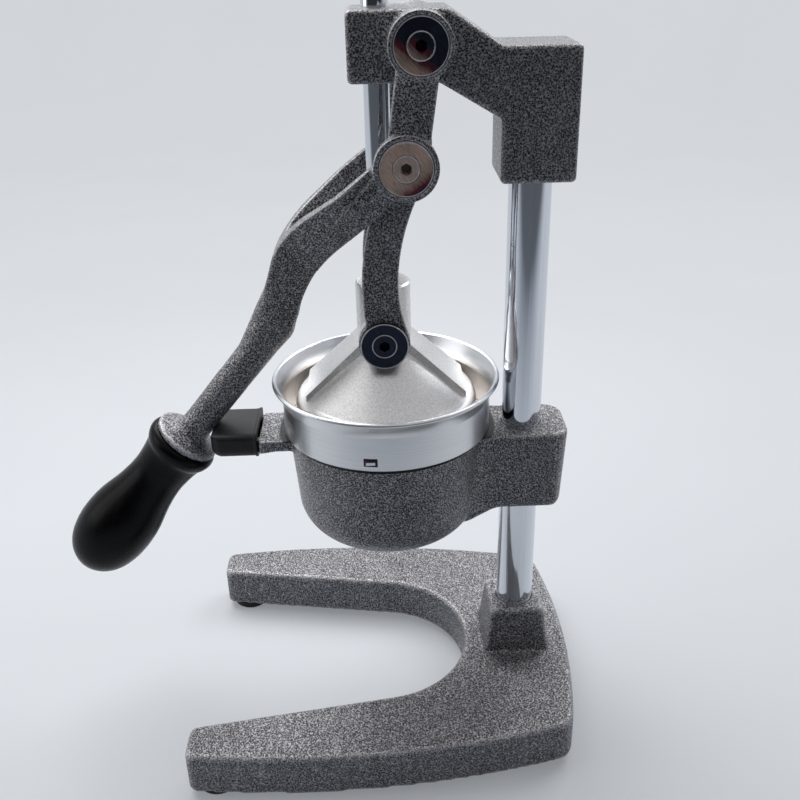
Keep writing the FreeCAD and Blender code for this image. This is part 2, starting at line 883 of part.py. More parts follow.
def make_links():
    """Two cast links from the elbow down to the die, bowed towards the front."""
    y, z = elbow_y, elbow_z
    low = d.die_pivot_z
    mid = low + d.link_length * 0.4
    for side, sign in (("right", 1), ("left", -1)):
        link = body(f"link_{side}")
        start = link_inner if sign > 0 else -link_outer
        bar = [
            (-9.2, low + 9.5, -140.0),
            (d.link_eye - 1.2, low + 6, -75.0),
            (d.link_waist_back, mid, -110.0),
            (y + 7, z - 12),
            (y - 12, z - 8, 160.0),
            (-d.link_waist_front, mid, 160.0),
        ]
        pad(link, outline(link, "YZ_Plane", bar, offset=start), d.link_thick)
        eyes = [(0, low, d.link_eye), (y, z, d.link_eye)]
        for eye in eyes:
            pad(link, circles(link, "YZ_Plane", eye, offset=start), d.link_thick)
        bore = circles(link, "YZ_Plane", (0, low, bush_hole), offset=start)
        pocket(link, bore, d.link_thick + 1, reverse=True)
        tapped = circles(link, "YZ_Plane", (y, z, d.screw_radius), offset=start)
        pocket(link, tapped, d.link_thick + 1, reverse=True)
        keep(link)


def along_fork(y, z):
    """Distance along the tilted line that the fork is cut across."""
    return y * sine(d.fork_tilt) + z * cosine(d.fork_tilt)


def tilted(owner, *loops):
    """Sketch that looks along the fork's thickness, upright along the tilted line."""
    made = sketch(owner, "XZ_Plane")
    made.AttachmentOffset = FreeCAD.Placement(
        FreeCAD.Vector(), FreeCAD.Rotation(FreeCAD.Vector(1, 0, 0), -d.fork_tilt.value)
    )
    bind(made, "AttachmentOffset.Rotation.Angle", -d.fork_tilt)
    for loop in loops:
        draw(made, loop)
    return made


def make_lever():
    """Cast lever: two cranks, two arms that close into a fork, a knee and a round rod."""
    fork = body("lever_fork")
    across_y, across_z = lean_cosine * d.arm_half_width, lean_sine * d.arm_half_width
    crank = [
        (elbow_y + across_y, elbow_z - across_z),
        (crank_y + across_y, crank_z - across_z),
        (crank_y - across_y, crank_z + across_z),
        (elbow_y - across_y, elbow_z + across_z),
    ]
    root_y, root_z = rod_sine * d.rod_root_radius, rod_cosine * d.rod_root_radius
    arm = [
        (elbow_y - 13, elbow_z + 3),
        (elbow_y - d.crook_forward, elbow_z - d.crook_down, d.crook_radius),
        (elbow_y - d.knee_forward, elbow_z - d.knee_down),
        (rod_y - root_y, rod_z + root_z),
        (rod_y + root_y, rod_z - root_z),
        (elbow_y - d.heel_forward, elbow_z - d.heel_down, -d.bend_back_radius),
        (elbow_y - d.bend_back_forward, elbow_z - d.bend_back_down),
        (elbow_y - 4, elbow_z - 14.5),
    ]
    width = arm_outer * 2
    pad(fork, outline(fork, "YZ_Plane", arm), width, symmetric=True)
    pad(fork, outline(fork, "YZ_Plane", crank), width, symmetric=True)
    pad(fork, circles(fork, "YZ_Plane", (crank_y, crank_z, d.crank_eye)), width, symmetric=True)
    pad(fork, circles(fork, "YZ_Plane", (elbow_y, elbow_z, d.elbow_eye)), width, symmetric=True)
    above = along_fork(crank_y, crank_z) + 40
    straight = along_fork(elbow_y, elbow_z) - d.fork_straight
    crotch = straight - d.crotch_down + d.fork_straight
    knee = straight - d.knee_drop + d.fork_straight
    gap = mirrored([(d.crotch_half, crotch + 8), (arm_inner, straight), (arm_inner, above)])
    gap[-1] = gap[-1] + (d.crotch_half * 1.15,)
    pocket(fork, tilted(fork, gap), symmetric=True)
    below = knee - 40
    outside = [
        (arm_outer + 0.5, straight + 2),
        (d.crotch_outer, crotch),
        (d.rod_root_radius, knee),
        (d.rod_root_radius, below),
        (arm_outer + 30, below),
        (arm_outer + 30, straight + 2),
    ]
    far_side = [(-across, up) for across, up in reversed(outside)]
    pocket(fork, tilted(fork, outside, far_side), symmetric=True)
    for y, z, disc in ((crank_y, crank_z, d.crank_disc), (elbow_y, elbow_z, d.elbow_disc)):
        pocket(fork, circles(fork, "YZ_Plane", (y, z, bush_hole)), symmetric=True)
        for sign in (1, -1):
            seat = circles(fork, "YZ_Plane", (y, z, disc + 0.15), offset=disc_seat * sign)
            pocket(fork, seat, d.disc_sunk + 1, reverse=sign > 0)
    shaft = body("lever_rod")
    radius, length = d.rod_radius, d.rod_length
    flare = length - d.collar_thick - d.rod_flare
    turn(
        shaft,
        [
            (0, 0 - d.rod_root_radius * 0.8),
            (d.rod_root_radius * 0.7, 0 - d.rod_root_radius * 0.6),
            (d.rod_root_radius, 0),
            (radius, flare, -(d.rod_flare * 1.3)),
            (d.collar_radius, length - d.collar_thick),
            (d.collar_radius, length),
            (d.stud_radius, length),
            (d.stud_radius, length - d.stud_in_rod),
            (0, length - d.stud_in_rod),
        ],
    )
    place(shaft, y=rod_y, z=rod_z, turn=(FreeCAD.Vector(1, 0, 0), 90 + d.rod_angle.value))
    bind(shaft, "Placement.Rotation.Angle", d.rod_angle + 90)
    lever = doc.addObject("Part::MultiFuse", "lever")
    lever.Label = "lever"
    lever.Shapes = [fork, shaft]
    keep(lever)


def make_grip():
    """Moulded grip on a steel stud that is screwed into the rod's end."""
    neck, neck_at = d.grip_neck, d.grip_neck_at
    belly, belly_at = d.grip_belly, d.grip_belly_at
    rise = belly_at - neck_at
    swell = belly - neck
    reach = (rise * rise + swell * swell) / (swell * 2)
    share = 0.6
    joint_at = neck_at + rise * share
    hollow = reach * share
    joint = neck + hollow - (reach - swell) * share
    lip_at = d.grip_flange_thick
    lip = d.grip_flange - neck
    drop = neck_at - lip_at
    throat = (drop * drop + lip * lip) / (lip * 2)
    tip_at = belly_at + 8
    nose, nose_height = belly * 0.62, size(4)
    dome = (nose * nose + nose_height * nose_height) / (nose_height * 2)
    hole = d.stud_length - d.stud_in_rod + 2
    grip = turned(
        "grip",
        [
            (d.stud_radius, 0),
            (d.grip_flange - 2, 0, 2.0),
            (d.grip_flange, 2),
            (d.grip_flange, lip_at, -throat),
            (neck, neck_at, -hollow),
            (joint, joint_at, reach - hollow),
            (belly, belly_at),
            (belly, tip_at, 15.5),
            (nose, d.grip_length - nose_height, dome),
            (0, d.grip_length),
            (0, hole),
            (d.stud_radius, hole),
        ],
    )
    start_y = rod_y - rod_cosine * d.rod_length
    start_z = rod_z - rod_sine * d.rod_length
    lean = (FreeCAD.Vector(1, 0, 0), 90 + d.rod_angle.value)
    keep(grip, y=start_y, z=start_z, turn=lean)
    bind(grip, "Placement.Rotation.Angle", d.rod_angle + 90)
    stud = turned(
        "grip_stud",
        [
            (0, 0.5 - d.stud_in_rod),
            (d.stud_radius - 0.05 - CHAMFER, 0.5 - d.stud_in_rod),
            (d.stud_radius - 0.05, 0.5 + CHAMFER - d.stud_in_rod),
            (d.stud_radius - 0.05, hole - 2 - CHAMFER),
            (d.stud_radius - 0.05 - CHAMFER, hole - 2),
            (0, hole - 2),
        ],
    )
    keep(stud, y=start_y, z=start_z, turn=lean)
    bind(stud, "Placement.Rotation.Angle", d.rod_angle + 90)


def make_holder():
    """Cast holder: a bowl for the cup, an arm to the column and a shelf for the bumper."""
    holder = body("holder")
    top, low, round_off = d.holder_top, d.holder_bottom, d.holder_round
    back = d.column_y + d.boss_behind
    half = d.boss_half
    plan = mirrored(
        [
            (d.holder_low_radius * 0.77, d.holder_low_radius * 0.62, -40.0),
            (half, d.column_y - 8),
            (half, back - d.boss_round, d.boss_round),
            (half - d.boss_round, back),
        ]
    )
    pad(holder, outline(holder, "XY_Plane", plan, offset=d.arm_bottom), top - d.arm_bottom)
    soften(holder, d.head_edge, lambda edge: level(edge, top) or level(edge, d.arm_bottom))
    turn(
        holder,
        [
            (0, low),
            (d.holder_low_radius - round_off, low, round_off),
            (d.holder_low_radius, low + round_off),
            (d.holder_rim_radius, top),
            (d.holder_lip_radius, top),
            (d.holder_lip_radius, d.cup_shoulder),
            (0, d.cup_shoulder),
        ],
    )
    web = [
        (d.holder_low_radius * 0.5, low + 4),
        (d.holder_low_radius * 0.87, low + 6),
        (d.column_y - d.column_radius - 4, d.arm_bottom),
        (d.column_y - d.column_radius - 4, d.arm_bottom + 4),
        (d.holder_low_radius * 0.5, d.arm_bottom + 4),
    ]
    pad(holder, outline(holder, "YZ_Plane", web), half * 1.9, symmetric=True)
    shelf_low = top - d.shelf_thick
    root_y = d.holder_low_radius - 4
    shelf = outline(holder, "XY_Plane", rectangle(d.shelf_half, -d.shelf_root, -root_y), offset=shelf_low)
    pad(holder, shelf, d.shelf_thick)
    tip = bumper_front() + d.sleeve_front_wall + d.fit_gap
    tongue = outline(holder, "XY_Plane", rectangle(d.tongue_half, tip, -root_y), offset=shelf_low)
    pad(holder, tongue, d.shelf_thick)
    bore = d.cup_spigot_radius + d.spigot_clearance
    ledge = d.cup_shoulder - d.cup_spigot_depth - 4
    floor = low + d.holder_wall + 2
    inner = d.holder_low_radius - d.holder_wall
    bowl_round = round_off - d.holder_wall
    turn(
        holder,
        [
            (0, floor),
            (inner - bowl_round - 3, floor, bowl_round + 2),
            (inner - 1, floor + bowl_round + 3),
            (bore, ledge),
            (bore, d.cup_shoulder + 1),
            (0, d.cup_shoulder + 1),
        ],
        kind="Groove",
    )
    pocket(holder, circles(holder, "XY_Plane", (0, 0, d.drain_radius), offset=floor + 1), d.holder_wall + 6)
    column = circles(holder, "XY_Plane", (0, d.column_y, column_hole), offset=top + 1)
    pocket(holder, column, top - d.arm_bottom + 20)
    screw_z = (top + d.arm_bottom) / 2
    tapped = circles(holder, "XZ_Plane", (0, screw_z, d.screw_radius), offset=-back)
    pocket(holder, tapped, d.boss_behind - d.column_radius + 2, reverse=True)
    keep(holder)
    screw = set_screw("holder_set_screw", d.screw_radius - 0.05, d.boss_behind - d.column_radius - 1.5)
    keep(screw, y=back - 1.4, z=screw_z, turn=(FreeCAD.Vector(1, 0, 0), -90))


def rectangle(half, front, back):
    return [(-half, front), (half, front), (half, back), (-half, back)]


def bumper_front():
    """Front of the bumper: its rounded top edge stands rest_gap from the lever's rod."""
    edge = d.sleeve_edge
    drop = d.sleeve_top - edge - rod_z
    away = d.rod_radius + d.rest_gap + edge + 0.25
    return rod_y + (away + rod_cosine * drop) / rod_sine - edge


def make_bumper():
    """Rubber sleeve pushed over the shelf's tongue: the lever's rod stops against it."""
    sleeve = body("bumper_sleeve")
    front = bumper_front()
    half, low, top = d.sleeve_half, d.sleeve_bottom, d.sleeve_top
    back = -d.sleeve_back
    pad(sleeve, outline(sleeve, "XY_Plane", rectangle(half, front, back), offset=low), top - low)
    back_y = back.value
    soften(sleeve, d.sleeve_edge, lambda edge: edge.BoundBox.YMin < back_y - 0.1)
    lip = d.sleeve_lip
    rim = outline(
        sleeve, "XY_Plane", rectangle(half + lip, back, -(d.shelf_root + d.fit_gap)), offset=low - lip
    )
    pad(sleeve, rim, top - low + lip * 2)
    room = d.fit_gap
    hole = outline(
        sleeve,
        "XY_Plane",
        rectangle(d.tongue_half + room, front + d.sleeve_front_wall, -d.shelf_root + 1),
        offset=d.holder_top + room,
    )
    pocket(sleeve, hole, d.shelf_thick + room * 2)
    keep(sleeve)


def make_cup():
    """Pressed steel cup: flared and beaded rim, band, shoulder and a spigot in the holder."""
    cup = body("filter_cup")
    wall, shoulder = d.cup_wall, d.cup_shoulder
    band, rim = d.cup_band_radius, d.cup_rim_radius
    top = d.cup_rim_top
    flare = top - d.cup_lip_height
    spigot = d.cup_spigot_radius
    bead = 1.3
    turn(
        cup,
        [
            (spigot - wall, shoulder - d.cup_spigot_depth),
            (spigot, shoulder - d.cup_spigot_depth),
            (spigot, shoulder),
            (band - 1, shoulder, 1.0),
            (band, shoulder + 1),
            (band, flare, -22.0),
            (rim - bead, top - bead * 2, bead),
            (rim, top - bead, bead),
            (rim - bead, top, bead * 1.5),
            (rim - bead * 2.2, top - bead, 22.0),
            (band - wall, flare),
            (band - wall, shoulder + wall),
            (spigot - wall, shoulder + wall),
        ],
    )
    slot_low = shoulder + d.slot_above_floor
    window = [
        (-d.slot_y - d.slot_width / 2, slot_low),
        (-d.slot_y + d.slot_width / 2, slot_low),
        (-d.slot_y + d.slot_width / 2, slot_low + d.slot_height),
        (-d.slot_y - d.slot_width / 2, slot_low + d.slot_height),
    ]
    pocket(cup, outline(cup, "YZ_Plane", window, offset=d.cup_band_radius + 3), 12)
    keep(cup)


def make_strainer():
    """Perforated steel insert: a cone under the die, a flat flange and a locking tab."""
    strainer = body("strainer")
    wall = d.strainer_wall
    floor = d.cup_shoulder + d.cup_wall
    edge = d.cup_band_radius - d.cup_wall - 0.3
    skirt = d.strainer_skirt
    drop = d.die_wall / cosine(d.cone_slope) + d.strainer_gap
    crown, rise = size(13), size(3.3)
    dome = (crown * crown + rise * rise) / (rise * 2)
    peak = cone_height(crown) - drop
    turn(
        strainer,
        [
            (skirt, floor),
            (edge, floor),
            (edge, floor + wall),
            (skirt + wall, floor + wall),
            (skirt + wall - 0.4, cone_height(skirt + wall) - drop),
            (crown, peak, dome),
            (0, peak + rise),
            (0, peak + rise - wall),
            (crown, peak - wall * 1.3),
            (skirt - 0.4, cone_height(skirt + wall) - drop - wall * 0.6),
        ],
    )
    tab_low = d.cup_shoulder + d.slot_above_floor + 0.4
    side = d.slot_width / 2 - 0.4
    root_x = edge - 5
    riser = [
        (root_x, -d.slot_y - side),
        (root_x + wall * 1.2, -d.slot_y - side),
        (root_x + wall * 1.2, -d.slot_y + side),
        (root_x, -d.slot_y + side),
    ]
    pad(strainer, outline(strainer, "XY_Plane", riser, offset=floor), tab_low + wall - floor)
    tongue = [
        (root_x, -d.slot_y - side),
        (d.cup_band_radius + 0.6, -d.slot_y - side),
        (d.cup_band_radius + 0.6, -d.slot_y + side),
        (root_x, -d.slot_y + side),
    ]
    pad(strainer, outline(strainer, "XY_Plane", tongue, offset=tab_low), wall * 1.6)
    rows = (18.0, 24.0, 30.0, 36.0)
    half_step = math.radians(360 / STRAINER_COLUMNS / 2)
    holes = [(row * math.cos(half_step), row * math.sin(half_step), d.strainer_hole) for row in rows]
    drilled = pocket(strainer, circles(strainer, "XY_Plane", *holes, offset=cone_height(0)), cone_height(0) - floor)
    pattern = strainer.newObject("PartDesign::PolarPattern", "strainer_holes")
    pattern.Originals = [drilled]
    pattern.Axis = ([item for item in strainer.Origin.OriginFeatures if item.Role == "Z_Axis"][0], [""])
    pattern.Angle = 360.0
    pattern.Occurrences = STRAINER_COLUMNS
    strainer.Tip = pattern
    keep(strainer)


def settle_origin():
    """Moves the whole press so that the origin is under the middle of its length."""
    doc.recompute()
    boxes = [item.Shape.optimalBoundingBox(False, False) for item in subparts]
    middle = (min(box.YMin for box in boxes) + max(box.YMax for box in boxes)) / 2
    frame_sheet.set("B1", f"{-middle:.4f}")
    doc.recompute()


def check():
    """Stops when a feature failed, a cut removed nothing or a sub-part is unsound."""
    for item in doc.Objects:
        if "Invalid" in item.State or "Error" in item.State:
            raise RuntimeError(f"{item.Label} is {item.State}")
        if item.TypeId in ("PartDesign::Pocket", "PartDesign::Groove"):
            if item.Shape.Volume > item.BaseFeature.Shape.Volume - 0.01:
                raise RuntimeError(f"{item.Label} removed nothing")
    for item in subparts:
        if item.Shape.isNull() or not item.Shape.isValid() or not item.Shape.Solids:
            raise RuntimeError(f"{item.Label} has no sound solid")


def write():
    os.makedirs("parts", exist_ok=True)
    for item in subparts:
        item.Shape.exportStep(f"parts/{item.Label}.step")


make_base()
make_feet()
make_column()
make_head()
make_pivots()
make_die(make_ram())
make_links()
make_lever()
make_grip()
make_holder()
make_bumper()
make_cup()
make_strainer()
settle_origin()
check()
write()
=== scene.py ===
"""Finishes and detail pieces of a lever citrus juice press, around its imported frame."""
import json
from math import cos, pi, radians, sin

import bmesh
import bpy
from mathutils import Matrix, Vector

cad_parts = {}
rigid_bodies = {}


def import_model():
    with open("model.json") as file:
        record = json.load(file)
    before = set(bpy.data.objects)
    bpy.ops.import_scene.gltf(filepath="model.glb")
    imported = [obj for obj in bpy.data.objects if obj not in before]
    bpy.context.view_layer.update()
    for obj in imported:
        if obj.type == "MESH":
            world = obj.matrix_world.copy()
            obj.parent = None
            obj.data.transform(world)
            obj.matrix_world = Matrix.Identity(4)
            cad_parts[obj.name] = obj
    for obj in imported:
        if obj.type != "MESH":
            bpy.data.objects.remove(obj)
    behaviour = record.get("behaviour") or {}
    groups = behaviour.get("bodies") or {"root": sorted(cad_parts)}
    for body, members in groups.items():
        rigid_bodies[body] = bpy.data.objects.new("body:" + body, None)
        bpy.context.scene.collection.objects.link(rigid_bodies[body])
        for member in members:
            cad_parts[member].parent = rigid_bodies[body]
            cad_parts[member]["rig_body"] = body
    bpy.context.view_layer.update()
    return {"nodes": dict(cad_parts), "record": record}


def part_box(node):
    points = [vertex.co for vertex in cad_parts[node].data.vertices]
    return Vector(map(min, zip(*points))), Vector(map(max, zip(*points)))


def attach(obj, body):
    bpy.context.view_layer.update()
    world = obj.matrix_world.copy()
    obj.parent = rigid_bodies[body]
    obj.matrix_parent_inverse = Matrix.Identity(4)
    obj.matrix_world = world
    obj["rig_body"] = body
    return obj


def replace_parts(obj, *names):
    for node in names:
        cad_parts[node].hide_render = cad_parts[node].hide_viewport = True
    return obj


bl_info = {
    "name": "Lever citrus press finishes",
    "version": (1, 0, 0),
    "blender": (4, 5, 0),
    "location": "3D View > Sidebar > Press",
    "description": "Paints, metals and detail pieces of a lever citrus press",
    "category": "Object",
}

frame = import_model()
MM = 0.001
RAM_Y = sum(corner.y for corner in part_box("ram")) / 2


def middle(node):
    """Centre of a node's box."""
    low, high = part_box(node)
    return (low + high) / 2


CRANK_PIVOT = middle("upper_pivot_bush_right")
ELBOW_PIVOT = middle("elbow_bush_right")
DIE_PIVOT = middle("lower_pivot_bush_right")
ABOVE_ELBOW_DISC = 362 * MM
ABOVE_DIE_DISC = 290 * MM
LAMPS = {
    "overhead": {"place": (-0.55, -0.35, 1.25), "size": 1.1},
    "side": {"place": (0.15, -1.1, 0.6), "size": 0.7},
    "back": {"place": (-0.7, 0.75, 1.1), "size": 0.8},
    "front": {"place": (1.1, 0.5, 0.8), "size": 0.6},
}
LAMP_TARGET = Vector((0, 0, 0.2))


def colour(name, description, red, green, blue):
    return bpy.props.FloatVectorProperty(
        name=name, description=description, default=(red, green, blue), subtype="COLOR", min=0, max=1
    )


def length(name, description, millimetres):
    size = millimetres * MM
    return bpy.props.FloatProperty(name=name, description=description, default=size, unit="LENGTH")


def angle(name, description, degrees):
    turn = radians(degrees)
    return bpy.props.FloatProperty(name=name, description=description, default=turn, unit="ROTATION")


def power(name, description, watts):
    return bpy.props.FloatProperty(name=name, description=description, default=watts, unit="POWER")


def share(name, description, value):
    return bpy.props.FloatProperty(name=name, description=description, default=value, subtype="FACTOR")


class PaintSettings(bpy.types.PropertyGroup):
    """Hammertone paint of the castings."""

    pale: colour("Pale", "Silver flake between the specks", 0.245, 0.24, 0.25)
    dark: colour("Dark", "Specks of the paint", 0.012, 0.012, 0.015)
    metal: share("Metal", "How metallic the flake is", 0.22)
    # Edges are made lighter: partly worn, thinner paint, partly a painted highlight along the edges.
    edge_wear_and_highlight: share("Edge wear", "How far the specks thin out along the edges", 0.5)
    speck: length("Speck", "Distance between two specks", 0.84)
    relief: length("Relief", "Depth of the hammered relief", 0.10)
    roughness: share("Roughness", "Gloss of the paint's flakes", 0.42)
    # Height of a painted shadow: a dark strip on the bowl's rim, just under the cup's band, where its shade
    # falls.
    seam: length("Seam", "Height of the dark seam between the bowl and the cup's band", 185.3)


class MetalSettings(bpy.types.PropertyGroup):
    """Bare and plated metals."""

    chrome: colour("Chrome", "Column and ram", 0.68, 0.71, 0.76)
    cup: colour("Cup", "Spun steel of the cup and strainer", 0.72, 0.735, 0.755)
    # Painted light: the inside is a lighter, warmer copy of the same steel, for the light it reflects from
    # above.
    cup_inside_lit: colour("Cup inside", "The cup's inner face and the strainer", 0.84, 0.80, 0.77)
    cup_reach: length("Cup reach", "Radius of the cup's inner face", 56.5)
    aluminium: colour("Aluminium", "Cast die", 0.80, 0.79, 0.78)
    # The disc and screw colours are the copper end of the painted reflection on the turned faces.
    disc: colour("Disc", "Turned faces of the pivot discs", 0.95, 0.70, 0.58)
    screw: colour("Screw", "Oiled screws", 0.90, 0.70, 0.60)
    zinc: colour("Zinc", "Bolt and set screws", 0.60, 0.61, 0.64)


class SoftSettings(bpy.types.PropertyGroup):
    """Plastic and rubber."""

    plastic: colour("Plastic", "Moulded grip", 0.003, 0.003, 0.0035)
    rubber: colour("Rubber", "Feet and bumper sleeve", 0.010, 0.010, 0.011)


class CastingSettings(bpy.types.PropertyGroup):
    """Softness of the castings' edges."""

    large_grain: length("Large grain", "Mesh size of the stand", 1.25)
    middle_grain: length("Middle grain", "Mesh size of the holder", 1.0)
    small_grain: length("Small grain", "Mesh size of the head, lever and links", 0.7)
    sleeve_grain: length("Sleeve grain", "Mesh size of the bumper sleeve", 0.42)
    tongue_drop: length("Tongue drop", "How much thicker the bumper's tongue is", 1.5)
    shelf_run: length("Shelf run", "How much longer the tongue's thick part is", 3.2)
    head_back: length("Head back", "How much further back the head's back face is", 2.0)
    clamp_lean: length("Clamp lean", "How far the clamp's back face leans in at the bottom", 3.6)
    passes: bpy.props.IntProperty(name="Passes", description="Rounding passes over the edges", default=5)


class SleeveSettings(bpy.types.PropertyGroup):
    """Bumper sleeve."""

    length: share("Length", "Length of the sleeve, as a share of the modelled one", 0.87)
    lip: length("Lip", "How far the modelled lip stands out", 1)
    lip_height: length("Lip height", "How far the finished lip stands out", 0.5)
    lip_width: length("Lip width", "Width of the lip", 1.6)
    lower_round: length("Lower rounding", "Rounding of the lower and front edges", 6)
    upper_round: length("Upper rounding", "Rounding of the upper edges", 2.6)


class LeverSettings(bpy.types.PropertyGroup):
    """Ridges and creases of the lever, measured from the elbow pivot."""

    bend_forward: length("Bend forward", "The arms' bend, in front of the elbow", 43)
    bend_down: length("Bend down", "The arms' bend, below the elbow", 34.5)
    knee_forward: length("Knee forward", "The knee, in front of the elbow", 66.5)
    knee_down: length("Knee down", "The knee, below the elbow", 74)
    rod_forward: length("Rod forward", "The rod's start, in front of the elbow", 71)
    rod_down: length("Rod down", "The rod's start, below the elbow", 88)
    rod_angle: angle("Rod angle", "Slope of the rod below the level", 50)
    eye_radius: length("Eye radius", "Outside of the round eyes", 15.6)
    eye_run: length("Eye run", "Length over which a ridge starts beside an eye", 2)
    crank_slope: share("Crank slope", "Fall of a crank's face from its ridge", 0.16)
    lower_slope: share("Lower slope", "Fall of an arm's face below its crease", 0.42)
    upper_slope: share("Upper slope", "Fall of an arm's face above its crease", 0.06)
    crease_width: length("Crease width", "Widest part of the lower face", 11)
    straight: length("Straight", "Length of the fork's arms before they close", 34)
    taper: length("Taper", "Length over which the fork closes", 70)
    inner: length("Inner", "Half of the gap between the arms", 26.3)
    outer: length("Outer", "Half of the width over the arms", 33.5)
    root: length("Root", "Radius of the rod at its start", 8.8)
    fade: length("Fade", "Length over which the creases end above the rod", 26)
    rod: length("Rod", "Radius of the rod", 8.1)
    rod_swell: share("Rod swell", "How much thicker the rod is made", 0.09)
    rod_shift: length("Rod shift", "How far the rod moves to its lower side", 0.9)
    collar: length("Collar", "Radius of the collar", 16.6)
    flare_at: length("Flare at", "Where the rod's flare starts", 72)
    flare_run: length("Flare run", "Length of the flare", 13.4)
    passes: bpy.props.IntProperty(name="Passes", description="Smoothing passes over the knee", default=24)
    knee_run: length("Knee run", "Length of the knee that is rounded", 32)
    knee_at: length("Knee at", "The knee's corner, behind the rod's start", 12)
    knee_middle: length("Knee middle", "Middle of the knee, in front of the rod's axis", 5)
    knee_half: length("Knee half", "Half height of the knee", 11.1)
    knee_lean: share("Knee lean", "How fast the knee's middle moves forward", 0.168)
    fill_run: length("Fill run", "How far down the rod the knee's swell ends", 22)
    heel_at: length("Heel at", "The heel's corner, behind the rod's start", 4)
    heel_run: length("Heel run", "Half length of the heel", 17)
    heel_fill: length("Heel fill", "How far the heel stands out", 2)
    knee_swell: share("Knee swell", "How fast the knee widens away from the rod", 0.146)


class RimSettings(bpy.types.PropertyGroup):
    """Raised rims of the lever's eyes, round the pivot discs."""

    crank: length("Crank rim", "Outer radius of the rims at the head", 14.95)
    elbow: length("Elbow rim", "Outer radius of the rims at the elbow", 15.6)
    above: length("Above disc", "How far a rim stands over its disc", 0.75)
    gap: length("Gap", "Gap between a disc and its rim", 0.22)
    edge: length("Edge", "Rounding of a rim's edges", 0.45)
    root: length("Root", "How deep a rim goes into the casting", 2.6)


class TabSettings(bpy.types.PropertyGroup):
    """Bent tab in the slot of the cup's band."""

    width: length("Width", "Width of the tab", 5.6)
    height: length("Height", "Height of the tab", 3.1)
    depth: length("Depth", "Thickness of the tab, with what is behind the band", 2.6)
    # The dark edge is a black plate that stands for the shade in the slot round the tab.
    edge: length("Edge", "Width of the dark edge round the tab", 0.9)
    raised: length("Raised", "How far the tab stands out of the slot", 0.6)
    reach: length("Reach", "Distance of the dark edge's middle from the ram's axis", 56.3)
    up: length("Up", "Height above the floor", 191.2)
    around: angle("Around", "Turn from the right side towards the front", 9.05)


class GripSettings(bpy.types.PropertyGroup):
    """Moulded grip, as radii at distances from the collar."""

    mouth: length("Mouth", "Radius where the grip meets the collar", 17.2)
    bead: length("Bead", "Radius over the bead at the collar", 20.2)
    bead_run: length("Bead run", "Length of the bead", 9.5)
    neck: length("Neck", "Radius of the neck", 15.6)
    neck_at: length("Neck at", "The neck's distance from the collar", 30)
    belly: length("Belly", "Radius of the belly", 21.8)
    belly_at: length("Belly at", "The belly's distance from the collar", 76)
    tip_at: length("Tip at", "Length of the grip", 107.5)


class EdgeSettings(bpy.types.PropertyGroup):
    """Fine bright edges of the pivot discs and their screws."""

    bead: length("Bead", "Width of an edge", 0.6)
    height: length("Height", "How far an edge stands out", 0.22)


class StageSettings(bpy.types.PropertyGroup):
    """Camera, floor and lamps."""

    lens: bpy.props.FloatProperty(name="Lens", description="Focal length", default=42.34, unit="CAMERA")
    camera_x: length("Camera X", "How far the camera stands to the right of the press", 472.1)
    camera_y: length("Camera Y", "How far the camera stands behind the middle of the press", 43.2)
    camera_z: length("Camera Z", "Height of the camera above the floor", 433.0)
    pitch: angle("Pitch", "How far the camera looks down", 26.42)
    yaw: angle("Yaw", "How far the camera turns towards the column", 0.95)
    roll: angle("Roll", "How far the camera leans", -1.37)
    floor: colour("Floor", "Floor and backdrop", 0.74, 0.77, 0.81)
    bounce: share("Bounce", "How much of its light the floor throws back", 0.4)
    bounce_tint: colour("Bounce tint", "Colour of the light that the floor throws back", 0.62, 0.76, 1.0)
    floor_glow: share("Floor glow", "How far the floor keeps its own colour", 0.3)
    wall_glow: share("Wall glow", "How far the wall keeps its own colour", 0.9)
    room: share("Room", "How strongly the room lights things", 0.16)
    shown: share("Shown", "How bright the room looks in bare metal", 0.6)
    overhead: power("Overhead", "Soft lamp above and behind the press", 16.0)
    side: power("Side", "Soft lamp in front of the press", 2.0)
    back: power("Back", "Soft lamp behind the column", 7.0)
    front: power("Front", "Weak soft lamp beside the camera", 0.3)


class Nodes:
    """Node tree built a node at a time."""

    def __init__(self, tree):
        self.tree = tree

    def add(self, kind, inputs=None, **settings):
        node = self.tree.nodes.new(kind)
        for setting, value in settings.items():
            setattr(node, setting, value)
        for socket, value in (inputs or {}).items():
            self.feed(node.inputs[socket], value)
        return node

    def feed(self, socket, value):
        if isinstance(value, bpy.types.NodeSocket):
            self.tree.links.new(value, socket)
        else:
            socket.default_value = value

    def sum(self, operation, first, second=0.5, third=0.5):
        node = self.add("ShaderNodeMath", {0: first, 1: second, 2: third}, operation=operation)
        return node.outputs[0]

    def ramp(self, factor, *stops):
        """Colour ramp over (position, colour) stops."""
        node = self.add("ShaderNodeValToRGB", {"Fac": factor})
        elements = node.color_ramp.elements
        while len(elements) < len(stops):
            elements.new(0.5)
        for element, (position, shade) in zip(elements, stops):
            element.position = position
            element.color = (*shade, 1)
        return node.outputs["Color"]

    def axis(self, vector, name):
        return self.add("ShaderNodeSeparateXYZ", {0: vector}).outputs[name]


